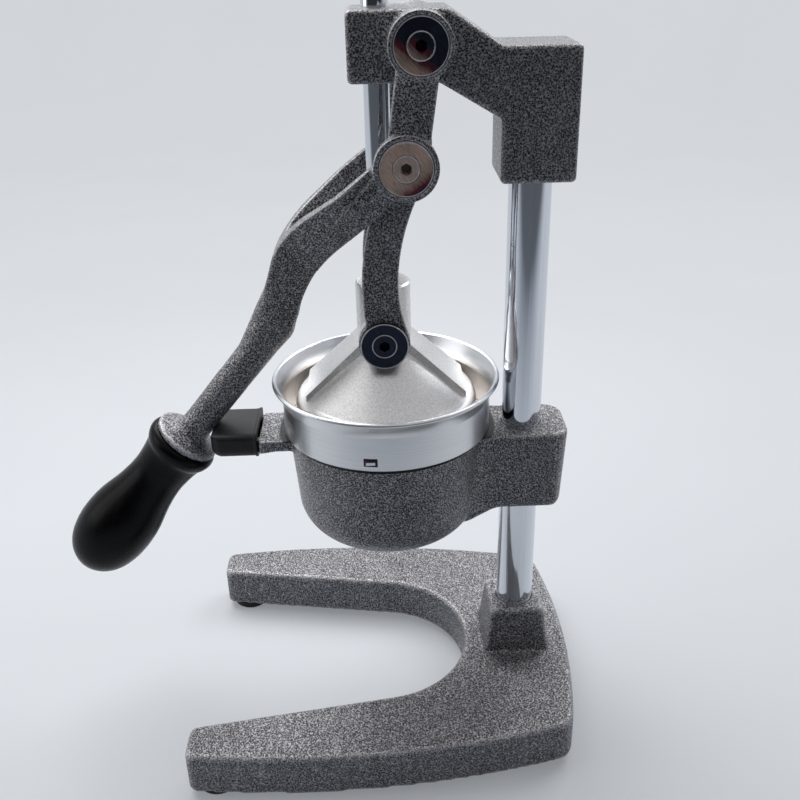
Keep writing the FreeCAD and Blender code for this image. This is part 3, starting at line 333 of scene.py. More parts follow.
class Shader(Nodes):
    """Material of one slot, on its objects' own coordinates."""

    def __init__(self, name, **fixed):
        self.material = bpy.data.materials.new(f"{name}_finish")
        self.material.use_nodes = True
        super().__init__(self.material.node_tree)
        self.surface = self.tree.nodes["Principled BSDF"]
        for socket, value in fixed.items():
            label = socket.replace("_", " ").title().replace("Ior", "IOR")
            self.surface.inputs[label].default_value = value
        self.place = self.add("ShaderNodeTexCoord").outputs["Object"]

    def shine(self, socket, value):
        self.feed(self.surface.inputs[socket], value)

    def noise(self, scale, detail=2.0, roughness=0.5, distortion=0.0, at=None):
        inputs = {
            "Vector": at or self.place,
            "Scale": scale,
            "Detail": detail,
            "Roughness": roughness,
            "Distortion": distortion,
        }
        return self.add("ShaderNodeTexNoise", inputs).outputs["Fac"]

    def spread(self, factor, low, high, out_low, out_high):
        """Maps low..high of a factor onto out_low..out_high, and holds it there."""
        inputs = {"Value": factor, "From Min": low, "From Max": high, "To Min": out_low, "To Max": out_high}
        return self.add("ShaderNodeMapRange", inputs, clamp=True).outputs["Result"]

    def mixed(self, factor, first, second, blend="MIX"):
        inputs = {0: factor, 6: first, 7: second}
        return self.add("ShaderNodeMix", inputs, data_type="RGBA", blend_type=blend).outputs[2]

    def times(self, first, second):
        return self.mixed(1.0, first, second, "MULTIPLY")

    def bump(self, height, distance, strength=1.0):
        inputs = {"Height": height, "Distance": distance, "Strength": strength}
        normal = self.add("ShaderNodeBump", inputs).outputs["Normal"]
        self.shine("Normal", normal)
        return normal

    def stretched(self, across, around, along, centre=(0, 0, 0)):
        """Coordinates scaled along X, Y and Z about a centre."""
        scale = Vector((across, around, along))
        shift = Vector([-middle * factor for middle, factor in zip(centre, scale)])
        inputs = {"Vector": self.place, "Location": shift, "Scale": scale}
        return self.add("ShaderNodeMapping", inputs).outputs["Vector"]

    def round_axis(self, first, second, centre):
        """Radius from an axis, given the two coordinates across it."""
        moved = self.stretched(1, 1, 1, centre)
        a, b = self.axis(moved, first), self.axis(moved, second)
        squares = self.sum("MULTIPLY_ADD", a, a, self.sum("MULTIPLY", b, b))
        return self.sum("SQRT", squares), self.sum("ARCTAN2", a, b)


def lighter(shade, factor):
    return tuple(min(1.0, part * factor) for part in shade)


def paint_material(settings):
    """Silver paint that has shrunk into dark specks, thin and bright between them, with a painted highlight
    along the edges and a painted shadow under the cup's band.
    """
    pale, dark = tuple(settings.pale), tuple(settings.dark)
    gloss = {"coat_weight": 0.3, "coat_roughness": 0.14, "specular_ior_level": 0.22}
    shader = Shader("hammertone_paint", **gloss)
    cells = shader.add("ShaderNodeTexVoronoi", {"Vector": shader.place, "Scale": 1 / settings.speck})
    ragged = shader.noise(1.3 / settings.speck, detail=3.0, roughness=0.6)
    broad = shader.noise(26.0, detail=2.0)
    spot = shader.sum("MULTIPLY_ADD", ragged, 1.1, cells.outputs["Distance"])
    level = shader.sum("MULTIPLY_ADD", broad, 0.16, shader.sum("SUBTRACT", spot, 0.63))
    # Along convex edges the level is raised towards the brightest stop, up to nearly three times the flake:
    # partly worn paint, partly a painted highlight.
    corner = shader.add("ShaderNodeNewGeometry").outputs["Pointiness"]
    rubbed_and_highlit = shader.spread(corner, 0.51, 0.56, 0.0, settings.edge_wear_and_highlight)
    level = shader.sum("ADD", level, rubbed_and_highlit)
    stops = [(0.41, dark), (0.45, lighter(pale, 0.75)), (0.54, pale), (0.95, lighter(pale, 2.8))]
    shade = shader.ramp(level, *stops)
    # Painted shadow: the paint is darkened to a few percent in a strip round this height, inside the bowl's
    # rim, where the cup's band shades the bowl.
    radius, _ = shader.round_axis("X", "Y", (0, RAM_Y, 0))
    height = shader.axis(shader.place, "Z")
    under_band = shader.sum("ABSOLUTE", shader.sum("SUBTRACT", height, settings.seam))
    outside = shader.spread(radius, 60 * MM, 61 * MM, 0.0, 1.0)
    seam = shader.sum("MAXIMUM", shader.spread(under_band, 1.8 * MM, 2.2 * MM, 0.03, 1.0), outside)
    shadow = shader.add("ShaderNodeCombineXYZ", {"X": seam, "Y": seam, "Z": seam})
    shader.shine("Base Color", shader.times(shade, shadow.outputs[0]))
    shader.shine("Metallic", shader.spread(level, 0.36, 0.50, 0.15, settings.metal))
    shader.shine("Roughness", shader.spread(level, 0.34, 0.60, 0.30, settings.roughness))
    relief = shader.bump(shader.spread(level, 0.30, 0.62, 0.0, 1.0), settings.relief)
    shader.shine("Coat Normal", relief)
    return shader.material


def chrome_material(settings):
    """Plated bar with faint marks along its length."""
    shader = Shader("chrome_rod", metallic=1.0)
    marks = shader.noise(1.0, detail=4.0, at=shader.stretched(900, 900, 14))
    shade = shader.ramp(marks, (0.3, lighter(settings.chrome, 0.93)), (0.7, settings.chrome))
    shader.shine("Base Color", shade)
    shader.shine("Roughness", shader.spread(marks, 0.35, 0.75, 0.05, 0.13))
    return shader.material


def cup_material(settings):
    """Spun steel: fine rings round the ram's axis, with the inner face and the strainer painted lighter and
    warmer as painted light from above.
    """
    shader = Shader("cup_steel", metallic=1.0)
    radius, turn = shader.round_axis("X", "Y", (0, RAM_Y, 0))
    height = shader.axis(shader.place, "Z")
    rings = shader.add("ShaderNodeCombineXYZ", {"X": shader.sum("MULTIPLY", radius, 2600.0)})
    shader.feed(rings.inputs["Y"], shader.sum("MULTIPLY", turn, 1.4))
    shader.feed(rings.inputs["Z"], shader.sum("MULTIPLY", height, 2600.0))
    lines = shader.noise(1.0, detail=3.0, roughness=0.6, at=rings.outputs[0])
    smear = shader.noise(28.0, detail=3.0)
    # Painted light: inside the cup's inner radius the tone moves to the lighter, warmer inside colour.
    lit_inside = shader.sum("LESS_THAN", radius, settings.cup_reach + 0.1 * MM)
    tone = shader.sum("MULTIPLY_ADD", lines, 0.4, lit_inside)
    stops = [(0.1, lighter(settings.cup, 0.86)), (0.3, settings.cup), (0.9, settings.cup_inside_lit)]
    shade = shader.ramp(tone, *stops)
    shader.shine("Base Color", shade)
    dull = shader.spread(radius, 0.0, settings.cup_reach, 0.56, 0.27)
    shader.shine("Roughness", shader.sum("MULTIPLY_ADD", smear, 0.06, dull))
    shader.bump(lines, 0.00004, 0.8)
    return shader.material


def aluminium_material(settings):
    """Tumbled casting: bright, with a fine open grain."""
    shader = Shader("die_aluminium", metallic=1.0)
    grain = shader.noise(1100.0, detail=3.0, roughness=0.65)
    broad = shader.noise(60.0, detail=4.0)
    shade = shader.ramp(grain, (0.32, lighter(settings.aluminium, 0.72)), (0.62, settings.aluminium))
    shader.shine("Base Color", shade)
    shader.shine("Roughness", shader.spread(broad, 0.3, 0.7, 0.30, 0.42))
    shader.bump(grain, 0.00012, 0.7)
    return shader.material


def turned_material(name, base, low, high, edge, reflection_lift):
    """Faced steel with a chamfered edge, painted from dark blue to copper across each face as a painted
    reflection, with a lathe's rings and drag marks.
    """
    shader = Shader(name, metallic=1.0)
    nearest = None
    for pivot in (CRANK_PIVOT, ELBOW_PIVOT, DIE_PIVOT):
        radius, _ = shader.round_axis("Y", "Z", pivot)
        nearest = radius if nearest is None else shader.sum("MINIMUM", nearest, radius)
    rings = shader.add("ShaderNodeCombineXYZ", {"X": shader.sum("MULTIPLY", nearest, 5200.0)})
    lines = shader.noise(1.0, detail=2.0, at=rings.outputs[0])
    slanted = shader.add("ShaderNodeMapping", {"Vector": shader.place, "Rotation": (radians(-35), 0, 0)})
    streaked = shader.add("ShaderNodeMapping", {"Vector": slanted.outputs[0], "Scale": (200, 2400, 260)})
    drag = shader.noise(1.0, detail=3.0, at=streaked.outputs[0])
    stain = shader.noise(150.0, detail=3.0)
    tint = shader.sum("ADD", shader.sum("MULTIPLY_ADD", drag, 0.16, reflection_level(shader)), reflection_lift)
    # Painted reflection: dark blue through red to copper, laid across each face by position.
    dark, red = (0.04, 0.048, 0.075), (0.22, 0.06, 0.08)
    painted_reflection = shader.ramp(tint, (0.12, dark), (0.30, red), (0.46, lighter(base, 0.7)), (0.8, base))
    tone = shader.sum("MULTIPLY_ADD", drag, 0.6, shader.sum("MULTIPLY", lines, 0.4))
    # Painted shade: the tone falls to a fifth within about 2.2 mm of a pivot's axis, in the screws' hex
    # sockets.
    tone = shader.sum("MULTIPLY", tone, shader.spread(nearest, 2.2 * MM, 2.8 * MM, 0.2, 1.0))
    polish_and_socket_shade = shader.ramp(tone, (0.05, (0.03, 0.03, 0.03)), (0.3, (0.45, 0.45, 0.45)), (0.65, (1, 1, 1)))
    shader.shine("Base Color", shader.times(painted_reflection, polish_and_socket_shade))
    shader.shine("Roughness", shader.spread(stain, 0.3, 0.7, low, high))
    chamfer = shader.spread(nearest, edge - 0.6 * MM, edge, 1.0, 0.0)
    shader.bump(shader.sum("MULTIPLY_ADD", tone, 0.1, chamfer), 0.5 * MM, 1.0)
    return shader.material


def reflection_level(shader):
    """How far a pivot's face is painted copper, as a painted reflection: the elbow's above its lower back,
    the head's at its lower front.
    """
    height = shader.axis(shader.place, "Z")
    at_elbow = shader.sum("LESS_THAN", height, ABOVE_ELBOW_DISC)
    at_die = shader.sum("LESS_THAN", height, ABOVE_DIE_DISC)
    pivot_y = shader.sum("MULTIPLY_ADD", at_elbow, ELBOW_PIVOT.y - CRANK_PIVOT.y, CRANK_PIVOT.y)
    pivot_y = shader.sum("MULTIPLY_ADD", at_die, DIE_PIVOT.y - ELBOW_PIVOT.y, pivot_y)
    forward = shader.sum("SUBTRACT", pivot_y, shader.axis(shader.place, "Y"))
    below_crank = shader.sum("SUBTRACT", CRANK_PIVOT.z, height)
    above_elbow = shader.sum("SUBTRACT", height, ELBOW_PIVOT.z)
    change = shader.sum("SUBTRACT", above_elbow, below_crank)
    upright = shader.sum("MULTIPLY_ADD", at_elbow, change, below_crank)
    upright = shader.sum("MULTIPLY", upright, shader.sum("SUBTRACT", 1.0, at_die))
    level = shader.sum("MULTIPLY", shader.sum("MULTIPLY_ADD", forward, 0.7, upright), 40.0)
    offset = shader.sum("MULTIPLY_ADD", at_die, -1.1, shader.sum("MULTIPLY_ADD", at_elbow, 0.78, -0.1))
    return shader.sum("ADD", level, offset)


def zinc_material(settings):
    """Passivated fasteners, dull and a little cloudy."""
    shader = Shader("zinc_fasteners", metallic=1.0)
    cloud = shader.noise(320.0, detail=3.0)
    shader.shine("Base Color", shader.ramp(cloud, (0.3, lighter(settings.zinc, 0.7)), (0.7, settings.zinc)))
    shader.shine("Roughness", shader.spread(cloud, 0.3, 0.7, 0.28, 0.45))
    shader.bump(cloud, 0.00004, 0.6)
    return shader.material


def plastic_material(settings):
    """Glossy moulded plastic with a slight flow in its surface and handling marks."""
    shader = Shader("grip_plastic", specular_ior_level=0.1)
    flow = shader.noise(55.0, detail=2.0)
    marks = shader.noise(240.0, detail=4.0, roughness=0.7)
    shade = shader.ramp(marks, (0.3, settings.plastic), (0.8, lighter(settings.plastic, 1.8)))
    shader.shine("Base Color", shade)
    shader.shine("Roughness", shader.spread(marks, 0.35, 0.75, 0.24, 0.34))
    shader.bump(flow, 0.0004, 0.2)
    return shader.material


def rubber_material(settings):
    """Moulded rubber with a dull skin and a trace of dust."""
    shader = Shader("black_rubber", specular_ior_level=0.3)
    dust = shader.noise(420.0, detail=4.0, roughness=0.7)
    shade = shader.ramp(dust, (0.35, settings.rubber), (0.85, lighter(settings.rubber, 2.6)))
    shader.shine("Base Color", shade)
    shader.shine("Roughness", shader.spread(dust, 0.3, 0.8, 0.38, 0.62))
    shader.bump(dust, 0.00008, 0.6)
    return shader.material


def finish_materials(settings):
    """One material for each of the record's slots."""
    metal, soft = settings.press_metal, settings.press_soft
    return {
        "hammertone_paint": paint_material(settings.press_paint),
        "chrome_rod": chrome_material(metal),
        "cup_steel": cup_material(metal),
        "die_aluminium": aluminium_material(metal),
        # The last number lifts the painted reflection; the screws' is lifted further.
        "pivot_steel": turned_material("pivot_steel", tuple(metal.disc), 0.34, 0.48, 12.6 * MM, 0.04),
        "dark_screws": turned_material("dark_screws", tuple(metal.screw), 0.34, 0.46, 6.4 * MM, 0.24),
        "zinc_fasteners": zinc_material(metal),
        "grip_plastic": plastic_material(soft),
        "black_rubber": rubber_material(soft),
    }


def material(slot):
    return bpy.data.materials[f"{slot}_finish"]


def keep_piece(made, name, body, slot):
    """Turns a bmesh into a smooth piece that rides on a body and takes a slot's finish."""
    mesh = bpy.data.meshes.new(name)
    made.to_mesh(mesh)
    made.free()
    mesh.materials.append(material(slot))
    mesh.shade_smooth()
    piece = bpy.data.objects.new(name, mesh)
    bpy.context.scene.collection.objects.link(piece)
    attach(piece, body)
    return piece


def apply_modifiers(piece):
    """Writes a piece's modifiers into its mesh."""
    bpy.context.view_layer.update()
    seen = piece.evaluated_get(bpy.context.evaluated_depsgraph_get())
    finished = bpy.data.meshes.new_from_object(seen)
    piece.modifiers.clear()
    piece.data = finished
    finished.shade_smooth()


def soften(piece, grain, passes):
    """Melts a piece's solids into one skin with rounded edges and filled corners."""
    skin = piece.modifiers.new("Skin", "REMESH")
    skin.mode = "VOXEL"
    skin.voxel_size = grain
    skin.adaptivity = 0.0
    smooth = piece.modifiers.new("Smooth", "SMOOTH")
    smooth.factor = 0.5
    smooth.iterations = passes
    apply_modifiers(piece)


def held(value, low=0.0, high=1.0):
    return max(low, min(high, value))


def across_line(point, start, end):
    """Distance along and to the lower side of a line, for (y, z) points."""
    line = (end - start).normalized()
    away = point - start
    return away.dot(line), away.x * -line.y + away.y * line.x


class LeverForm:
    """Where the lever's arms, cranks and rod run, seen from the side and from the front."""

    def __init__(self, settings):
        self.elbow = Vector(ELBOW_PIVOT.yz)
        self.crank = Vector(CRANK_PIVOT.yz)
        self.bend = self.elbow + Vector((-settings.bend_forward, -settings.bend_down))
        self.knee = self.elbow + Vector((-settings.knee_forward, -settings.knee_down))
        self.rod_start = self.elbow + Vector((-settings.rod_forward, -settings.rod_down))
        self.rod_line = Vector((-cos(settings.rod_angle), -sin(settings.rod_angle)))
        self.settings = settings

    def clear_of_eyes(self, point):
        """Nought on the round eyes, one a little way outside them."""
        near = min((point - self.elbow).length, (point - self.crank).length)
        return held((near - self.settings.eye_radius) / self.settings.eye_run)

    def crank_drop(self, point):
        """How far a crank's outer face falls away from its middle ridge."""
        _, side = across_line(point, self.elbow, self.crank)
        return abs(side) * self.settings.crank_slope

    def arm_drop(self, point):
        """How far an arm's outer face falls away below and above its crease."""
        _, first = across_line(point, self.elbow, self.bend)
        _, second = across_line(point, self.bend, self.knee)
        side = second if abs(second) < abs(first) else first
        lower = held(side, 0, self.settings.crease_width) * self.settings.lower_slope
        return lower + held(-side, 0, 1) * self.settings.upper_slope

    def depth(self, point, across):
        """Nought on the fork's inner faces and one on its outer faces."""
        tilted = (self.elbow - point).dot(Vector((1, 1)).normalized())
        parted = held((tilted - self.settings.straight) / self.settings.taper)
        inner = self.settings.inner * (1 - parted)
        outer = self.settings.outer + (self.settings.root - self.settings.outer) * parted
        return held((abs(across) - inner) / (outer - inner))

    def face(self, place):
        """Moves a point of the outer faces onto the ridge and crease."""
        point = Vector(place.yz)
        if (point - self.elbow).dot(self.crank - self.elbow) > 0:
            drop = self.crank_drop(point)
        else:
            along = (point - self.rod_start).dot(self.rod_line)
            drop = self.arm_drop(point) * held(-along / self.settings.fade)
        amount = drop * self.depth(point, place.x) * self.clear_of_eyes(point)
        return place.x - amount if place.x > 0 else place.x + amount

    def thicken_rod(self, place):
        """Thickens the rod towards its lower side."""
        settings = self.settings
        away = Vector(place.yz) - self.rod_start
        along = away.dot(self.rod_line)
        amount = held((along + 10 * MM) / (25 * MM))
        upward = Vector((self.rod_line.y, -self.rod_line.x))
        beside = away.dot(upward)
        place.x *= 1 + settings.rod_swell * amount
        beside += (beside * settings.rod_swell - settings.rod_shift) * amount
        place.y, place.z = self.rod_start + self.rod_line * along + upward * beside

    def neck_in(self, place):
        """Narrows the rod's flare, so that the collar stands out as a disc."""
        settings = self.settings
        away = Vector(place.yz) - self.rod_start
        along = away.dot(self.rod_line)
        if not 0 < along - settings.flare_at < settings.flare_run:
            return
        share_run = (along - settings.flare_at) / settings.flare_run
        target = settings.rod + (settings.collar - settings.rod) * share_run**5
        beside = away - self.rod_line * along
        reach = Vector((place.x, beside.length)).length
        if reach > target:
            place.x *= target / reach
            place.y, place.z = self.rod_start + self.rod_line * along + beside * (target / reach)

    def fill_knee(self, place):
        """Fills the corners before and behind the rod's start, so that the knee runs into the rod."""
        settings = self.settings
        away = Vector(place.yz) - self.rod_start
        back = -away.dot(self.rod_line)
        upward = Vector((self.rod_line.y, -self.rod_line.x))
        beside = away.dot(upward)
        if beside > 0:
            if not -settings.fill_run < back < settings.knee_at:
                return
            reach = settings.knee_middle + settings.knee_half
            now = settings.root + (reach - settings.root) * held(back / settings.knee_at)
            wanted = (back + settings.fill_run) / (settings.knee_at + settings.fill_run)
            beside *= (settings.root + (reach - settings.root) * wanted) / now
        else:
            near = held(1 - abs(back - settings.heel_at) / settings.heel_run)
            beside *= 1 + near * settings.heel_fill / settings.root
        place.y, place.z = self.rod_start - self.rod_line * back + upward * beside

    def round_off(self, place):
        """Turns the square knee round towards the rod."""
        settings = self.settings
        away = Vector(place.yz) - self.rod_start
        back = -away.dot(self.rod_line)
        if not 0 <= back < settings.knee_run:
            return
        share = held(back / settings.knee_at)
        upward = Vector((self.rod_line.y, -self.rod_line.x))
        middle_line = settings.knee_middle * share + max(0, back - settings.knee_at) * settings.knee_lean
        half = settings.root + (settings.knee_half - settings.root) * share
        width = settings.root + back * settings.knee_swell
        beside = away.dot(upward) - middle_line
        sharpness = 2 + 8 * back / settings.knee_run
        reach = ((abs(place.x) / width) ** sharpness + (abs(beside) / half) ** sharpness) ** (1 / sharpness)
        if reach > 1:
            reach = 1 + (reach - 1) * (1 - back / settings.knee_run)
            place.x /= reach
            beside = middle_line + beside / reach
            place.y, place.z = self.rod_start - self.rod_line * back + upward * beside


def shape_lever(piece, settings):
    """Draws the ridges, creases and round knee of the lever's casting."""
    form = LeverForm(settings)
    for vertex in piece.data.vertices:
        form.round_off(vertex.co)
        form.fill_knee(vertex.co)
        form.neck_in(vertex.co)
        form.thicken_rod(vertex.co)
        vertex.co.x = form.face(vertex.co)
    made = bmesh.new()
    made.from_mesh(piece.data)
    reach = settings.knee_run + 10 * MM
    near = [vert for vert in made.verts if (Vector(vert.co.yz) - form.rod_start).length < reach]
    every_axis = {f"use_axis_{axis}": True for axis in "xyz"}
    for _ in range(settings.passes):
        bmesh.ops.smooth_vert(made, verts=near, factor=0.5, **every_axis)
    made.to_mesh(piece.data)
    made.free()
    piece.data.update()


def shape_sleeve(piece, settings):
    """Rounds the edges of the bumper sleeve and thins its lip."""
    low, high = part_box("bumper_sleeve")
    lip, lower, upper = settings.lip, settings.lower_round, settings.upper_round
    back = low.y + (high.y - low.y) * settings.length
    for vertex in piece.data.vertices:
        vertex.co.y = low.y + (vertex.co.y - low.y) * settings.length
    for rounding, bottom, top in (
        (lower, low.z + lip + lower, high.z),
        (upper, low.z, high.z - lip - upper),
    ):
        half = high.x - lip - rounding
        for vertex in piece.data.vertices:
            place = vertex.co
            on_lip = held((place.y - back + settings.lip_width) / (0.4 * MM))
            reach = rounding + settings.lip_height * on_lip
            core = Vector((held(place.x, -half, half), max(place.y, low.y + rounding), 0))
            core.z = held(place.z, bottom, top)
            away = place - core
            if away.length > reach:
                vertex.co = core + away * (reach / away.length)
    piece.data.update()


def shape_holder(piece, settings):
    """Thickens and lengthens the bumper's shelf and leans the clamp's back face."""
    low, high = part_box("holder")
    shelf_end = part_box("bumper_sleeve")[1].y
    for vertex in piece.data.vertices:
        place = vertex.co
        forward = held((RAM_Y - 62 * MM - place.y) / (6 * MM))
        place.z -= settings.tongue_drop * forward * held((182 * MM - place.z) / (4 * MM))
        if shelf_end - 2 * MM < place.y < shelf_end + 6 * MM:
            place.y -= settings.shelf_run * held((shelf_end + 6 * MM - place.y) / (5 * MM))
        back = held((place.y - high.y + 10 * MM) / (8 * MM))
        place.y -= settings.clamp_lean * back * held((high.z - place.z) / (high.z - low.z))
    piece.data.update()


def shape_head(piece, run):
    """Moves the head's back face a little further back."""
    _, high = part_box("head")
    for vertex in piece.data.vertices:
        vertex.co.y += run * held((vertex.co.y - high.y + 14 * MM) / (10 * MM))
    piece.data.update()


def welded(node):
    """Copy of a CAD node's mesh with its loose triangles joined."""
    made = bmesh.new()
    made.from_mesh(frame["nodes"][node].data)
    bmesh.ops.remove_doubles(made, verts=made.verts, dist=0.002 * MM)
    return made


def body_of(node):
    return frame["nodes"][node]["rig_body"]


class PRESS_OT_finishes(bpy.types.Operator):
    """Make every finish and give it to the nodes of its slot"""

    bl_idname = "press.finishes"
    bl_label = "Finishes"

    def execute(self, context):
        made = finish_materials(context.scene)
        for row in frame["record"]["subparts"]:
            mesh = frame["nodes"][row["node"]].data
            mesh.materials.clear()
            mesh.materials.append(made[row["material_slot"]])
        return {"FINISHED"}


class PRESS_OT_castings(bpy.types.Operator):
    """Give the painted castings their rounded edges"""

    bl_idname = "press.castings"
    bl_label = "Castings"

    def execute(self, context):
        settings = context.scene.press_casting
        grains = {
            "base": settings.large_grain,
            "holder": settings.middle_grain,
            "head": settings.small_grain,
            "lever": settings.small_grain,
            "link_right": settings.small_grain,
            "link_left": settings.small_grain,
            "bumper_sleeve": settings.sleeve_grain,
        }
        slots = {row["node"]: row["material_slot"] for row in frame["record"]["subparts"]}
        for node, grain in grains.items():
            piece = keep_piece(welded(node), f"{node}_casting", body_of(node), slots[node])
            soften(piece, grain, settings.passes)
            if node == "lever":
                shape_lever(piece, context.scene.press_lever)
            if node == "bumper_sleeve":
                shape_sleeve(piece, context.scene.press_sleeve)
            if node == "head":
                shape_head(piece, settings.head_back)
            if node == "holder":
                shape_holder(piece, settings)
            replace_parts(piece, node)
        return {"FINISHED"}


def quarter(middle_of, radius, start, steps=4):
    """Points of a quarter turn in a plane, from an angle in degrees onwards and clockwise."""
    turns = [radians(start - 90 * step / steps) for step in range(steps + 1)]
    return [(middle_of[0] + radius * cos(turn), middle_of[1] + radius * sin(turn)) for turn in turns]


def spun(profile, centre, sign, steps=96):
    """Ring from a closed (radius, height) profile, spun about a pivot along X."""
    made = bmesh.new()
    verts = [made.verts.new((sign * out, centre.y + reach, centre.z)) for reach, out in profile]
    edges = [made.edges.new(pair) for pair in zip(verts, verts[1:] + verts[:1])]
    bmesh.ops.spin(
        made, geom=verts + edges, cent=centre, axis=(1, 0, 0), angle=2 * pi, steps=steps, use_merge=True
    )
    bmesh.ops.remove_doubles(made, verts=made.verts, dist=0.001 * MM)
    bmesh.ops.recalc_face_normals(made, faces=made.faces)
    return made


class PRESS_OT_rims(bpy.types.Operator):
    """Make the painted rims round the discs of the lever's pivots"""

    bl_idname = "press.rims"
    bl_label = "Eye rims"

    def execute(self, context):
        settings = context.scene.press_rim
        for name, outer in (("upper_pivot", settings.crank), ("elbow", settings.elbow)):
            for side, sign in (("right", 1), ("left", -1)):
                low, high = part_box(f"{name}_bush_{side}")
                inner = (high.z - low.z) / 2 + settings.gap
                top = max(abs(low.x), abs(high.x)) + settings.above
                edge, bottom = settings.edge, top - settings.root
                rounded = quarter((inner + 2 * edge, top - 2 * edge), 2 * edge, 180)
                rounded += quarter((outer - edge, top - edge), edge, 90)
                profile = [(inner, bottom)] + rounded + [(outer, bottom)]
                made = spun(profile, (low + high) / 2, sign)
                keep_piece(made, f"{name}_rim_{side}", "lever", "hammertone_paint")
        return {"FINISHED"}


class PRESS_OT_edges(bpy.types.Operator):
    """Make the fine turned edges of the pivot discs and their screws"""

    bl_idname = "press.edges"
    bl_label = "Disc edges"

    def execute(self, context):
        settings = context.scene.press_edge
        half = settings.bead / 2
        turns = [radians(180 - 180 * step / 8) for step in range(9)]
        for pivot in ("upper_pivot", "elbow", "lower_pivot"):
            for kind in ("bush", "screw"):
                for side, sign in (("right", 1), ("left", -1)):
                    node = f"{pivot}_{kind}_{side}"
                    low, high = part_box(node)
                    outer, top = (high.z - low.z) / 2, max(abs(low.x), abs(high.x))
                    middle_of = outer - half
                    profile = [(middle_of + half * cos(a), top + settings.height * sin(a)) for a in turns]
                    profile += [(outer, top - half), (outer - 2 * half, top - half)]
                    made = spun(profile, (low + high) / 2, sign)
                    keep_piece(made, f"{pivot}_{kind}_edge_{side}", body_of(node), "zinc_fasteners")
        return {"FINISHED"}


def smooth_line(points, steps):
    """Rounds a run of (distance, radius) points into a smooth line through them."""
    line = []
    ends = [points[0]] + points + [points[-1]]
    for before, start, end, after in zip(ends, ends[1:], ends[2:], ends[3:]):
        for step in range(steps):
            t = step / steps
            line.append(
                [
                    0.5
                    * (
                        2 * b
                        + (c - a) * t
                        + (2 * a - 5 * b + 4 * c - d) * t * t
                        + (3 * b - a - 3 * c + d) * t**3
                    )
                    for a, b, c, d in zip(before, start, end, after)
                ]
            )
    return line + [list(points[-1])]


class PRESS_OT_grip(bpy.types.Operator):
    """Turn the moulded grip: bead, neck, belly and round tip"""

    bl_idname = "press.grip"
    bl_label = "Grip"

    def execute(self, context):
        settings, lever = context.scene.press_grip, context.scene.press_lever
        form = LeverForm(lever)
        run, bead, neck, belly = settings.bead_run, settings.bead, settings.neck, settings.belly
        tip, thin_at, wide_at = settings.tip_at, settings.neck_at, settings.belly_at
        points = [(0, settings.mouth), (0.12 * run, bead - 0.9 * MM), (0.42 * run, bead)]
        points += [(0.8 * run, bead - 0.8 * MM)]
        points += [(run + 2 * MM, bead - 2.6 * MM), (thin_at * 0.66, neck + 0.6 * MM), (thin_at, neck)]
        points += [(thin_at + 14 * MM, neck + 1.6 * MM), (wide_at - 15 * MM, belly - 0.9 * MM)]
        points += [(wide_at, belly), (wide_at + 13 * MM, belly - 1.9 * MM)]
        points += [(tip - 9.5 * MM, belly - 6.0 * MM), (tip - 3.4 * MM, belly - 12.0 * MM)]
        points += [(tip - 0.6 * MM, 4.6 * MM), (tip, 0)]
        line = smooth_line(points, 8)
        made = bmesh.new()
        verts = [made.verts.new((0, -radius, -along)) for along, radius in line]
        edges = [made.edges.new(pair) for pair in zip(verts, verts[1:])]
        bmesh.ops.spin(
            made, geom=verts + edges, cent=(0, 0, 0), axis=(0, 0, 1), angle=2 * pi, steps=96, use_merge=True
        )
        bmesh.ops.remove_doubles(made, verts=made.verts, dist=0.01 * MM)
        bmesh.ops.holes_fill(made, edges=[edge for edge in made.edges if edge.is_boundary])
        upward = Vector((form.rod_line.y, -form.rod_line.x))
        start = form.rod_start + form.rod_line * (lever.flare_at + lever.flare_run + 2.6 * MM)
        start -= upward * lever.rod_shift
        down = Vector((0, *form.rod_line))
        turn = Vector((0, 0, -1)).rotation_difference(down).to_matrix()
        bmesh.ops.rotate(made, verts=made.verts, matrix=turn)
        bmesh.ops.translate(made, verts=made.verts, vec=(0, *start))
        bmesh.ops.recalc_face_normals(made, faces=made.faces)
        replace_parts(keep_piece(made, "moulded_grip", "lever", "grip_plastic"), "grip")
        return {"FINISHED"}


class PRESS_OT_slot_tab(bpy.types.Operator):
    """Make the small bent tab that shows in the slot of the cup's band, with a black plate round it as
    painted shade in the slot
    """

    bl_idname = "press.slot_tab"
    bl_label = "Slot tab"

    def execute(self, context):
        settings = context.scene.press_tab
        for name, grown, raised, slot in (
            # The first plate is painted shade: a black sheet in the slot, round the tab, where the slot is
            # in shade.
            ("cup_slot_edge", settings.edge, 0, "black_rubber"),
            ("cup_slot_tab", 0, settings.raised, "dark_screws"),
        ):
            made = bmesh.new()
            bmesh.ops.create_cube(made, size=1)
            size = (settings.depth, settings.width + 2 * grown, settings.height + 2 * grown)
            bmesh.ops.scale(made, verts=made.verts, vec=size)
            rounding = settings.depth * 0.2
            bevel = {"offset": rounding, "segments": 5, "profile": 0.5, "affect": "EDGES", "material": -1}
            bmesh.ops.bevel(made, geom=made.edges, **bevel)
            bmesh.ops.rotate(made, verts=made.verts, matrix=Matrix.Rotation(-settings.around, 3, "Z"))
            out = settings.reach + raised
            place = (out * cos(settings.around), RAM_Y - out * sin(settings.around), settings.up)
            bmesh.ops.translate(made, verts=made.verts, vec=place)
            keep_piece(made, name, "root", slot)
        return {"FINISHED"}


def lamp(name, place, size, watts):
    """Square soft lamp that looks at the press."""
    data = bpy.data.lights.new(name, "AREA")
    data.size = size
    data.energy = watts
    made = bpy.data.objects.new(name, data)
    made.location = place
    made.rotation_euler = (LAMP_TARGET - Vector(place)).to_track_quat("-Z", "Y").to_euler()
    bpy.context.scene.collection.objects.link(made)


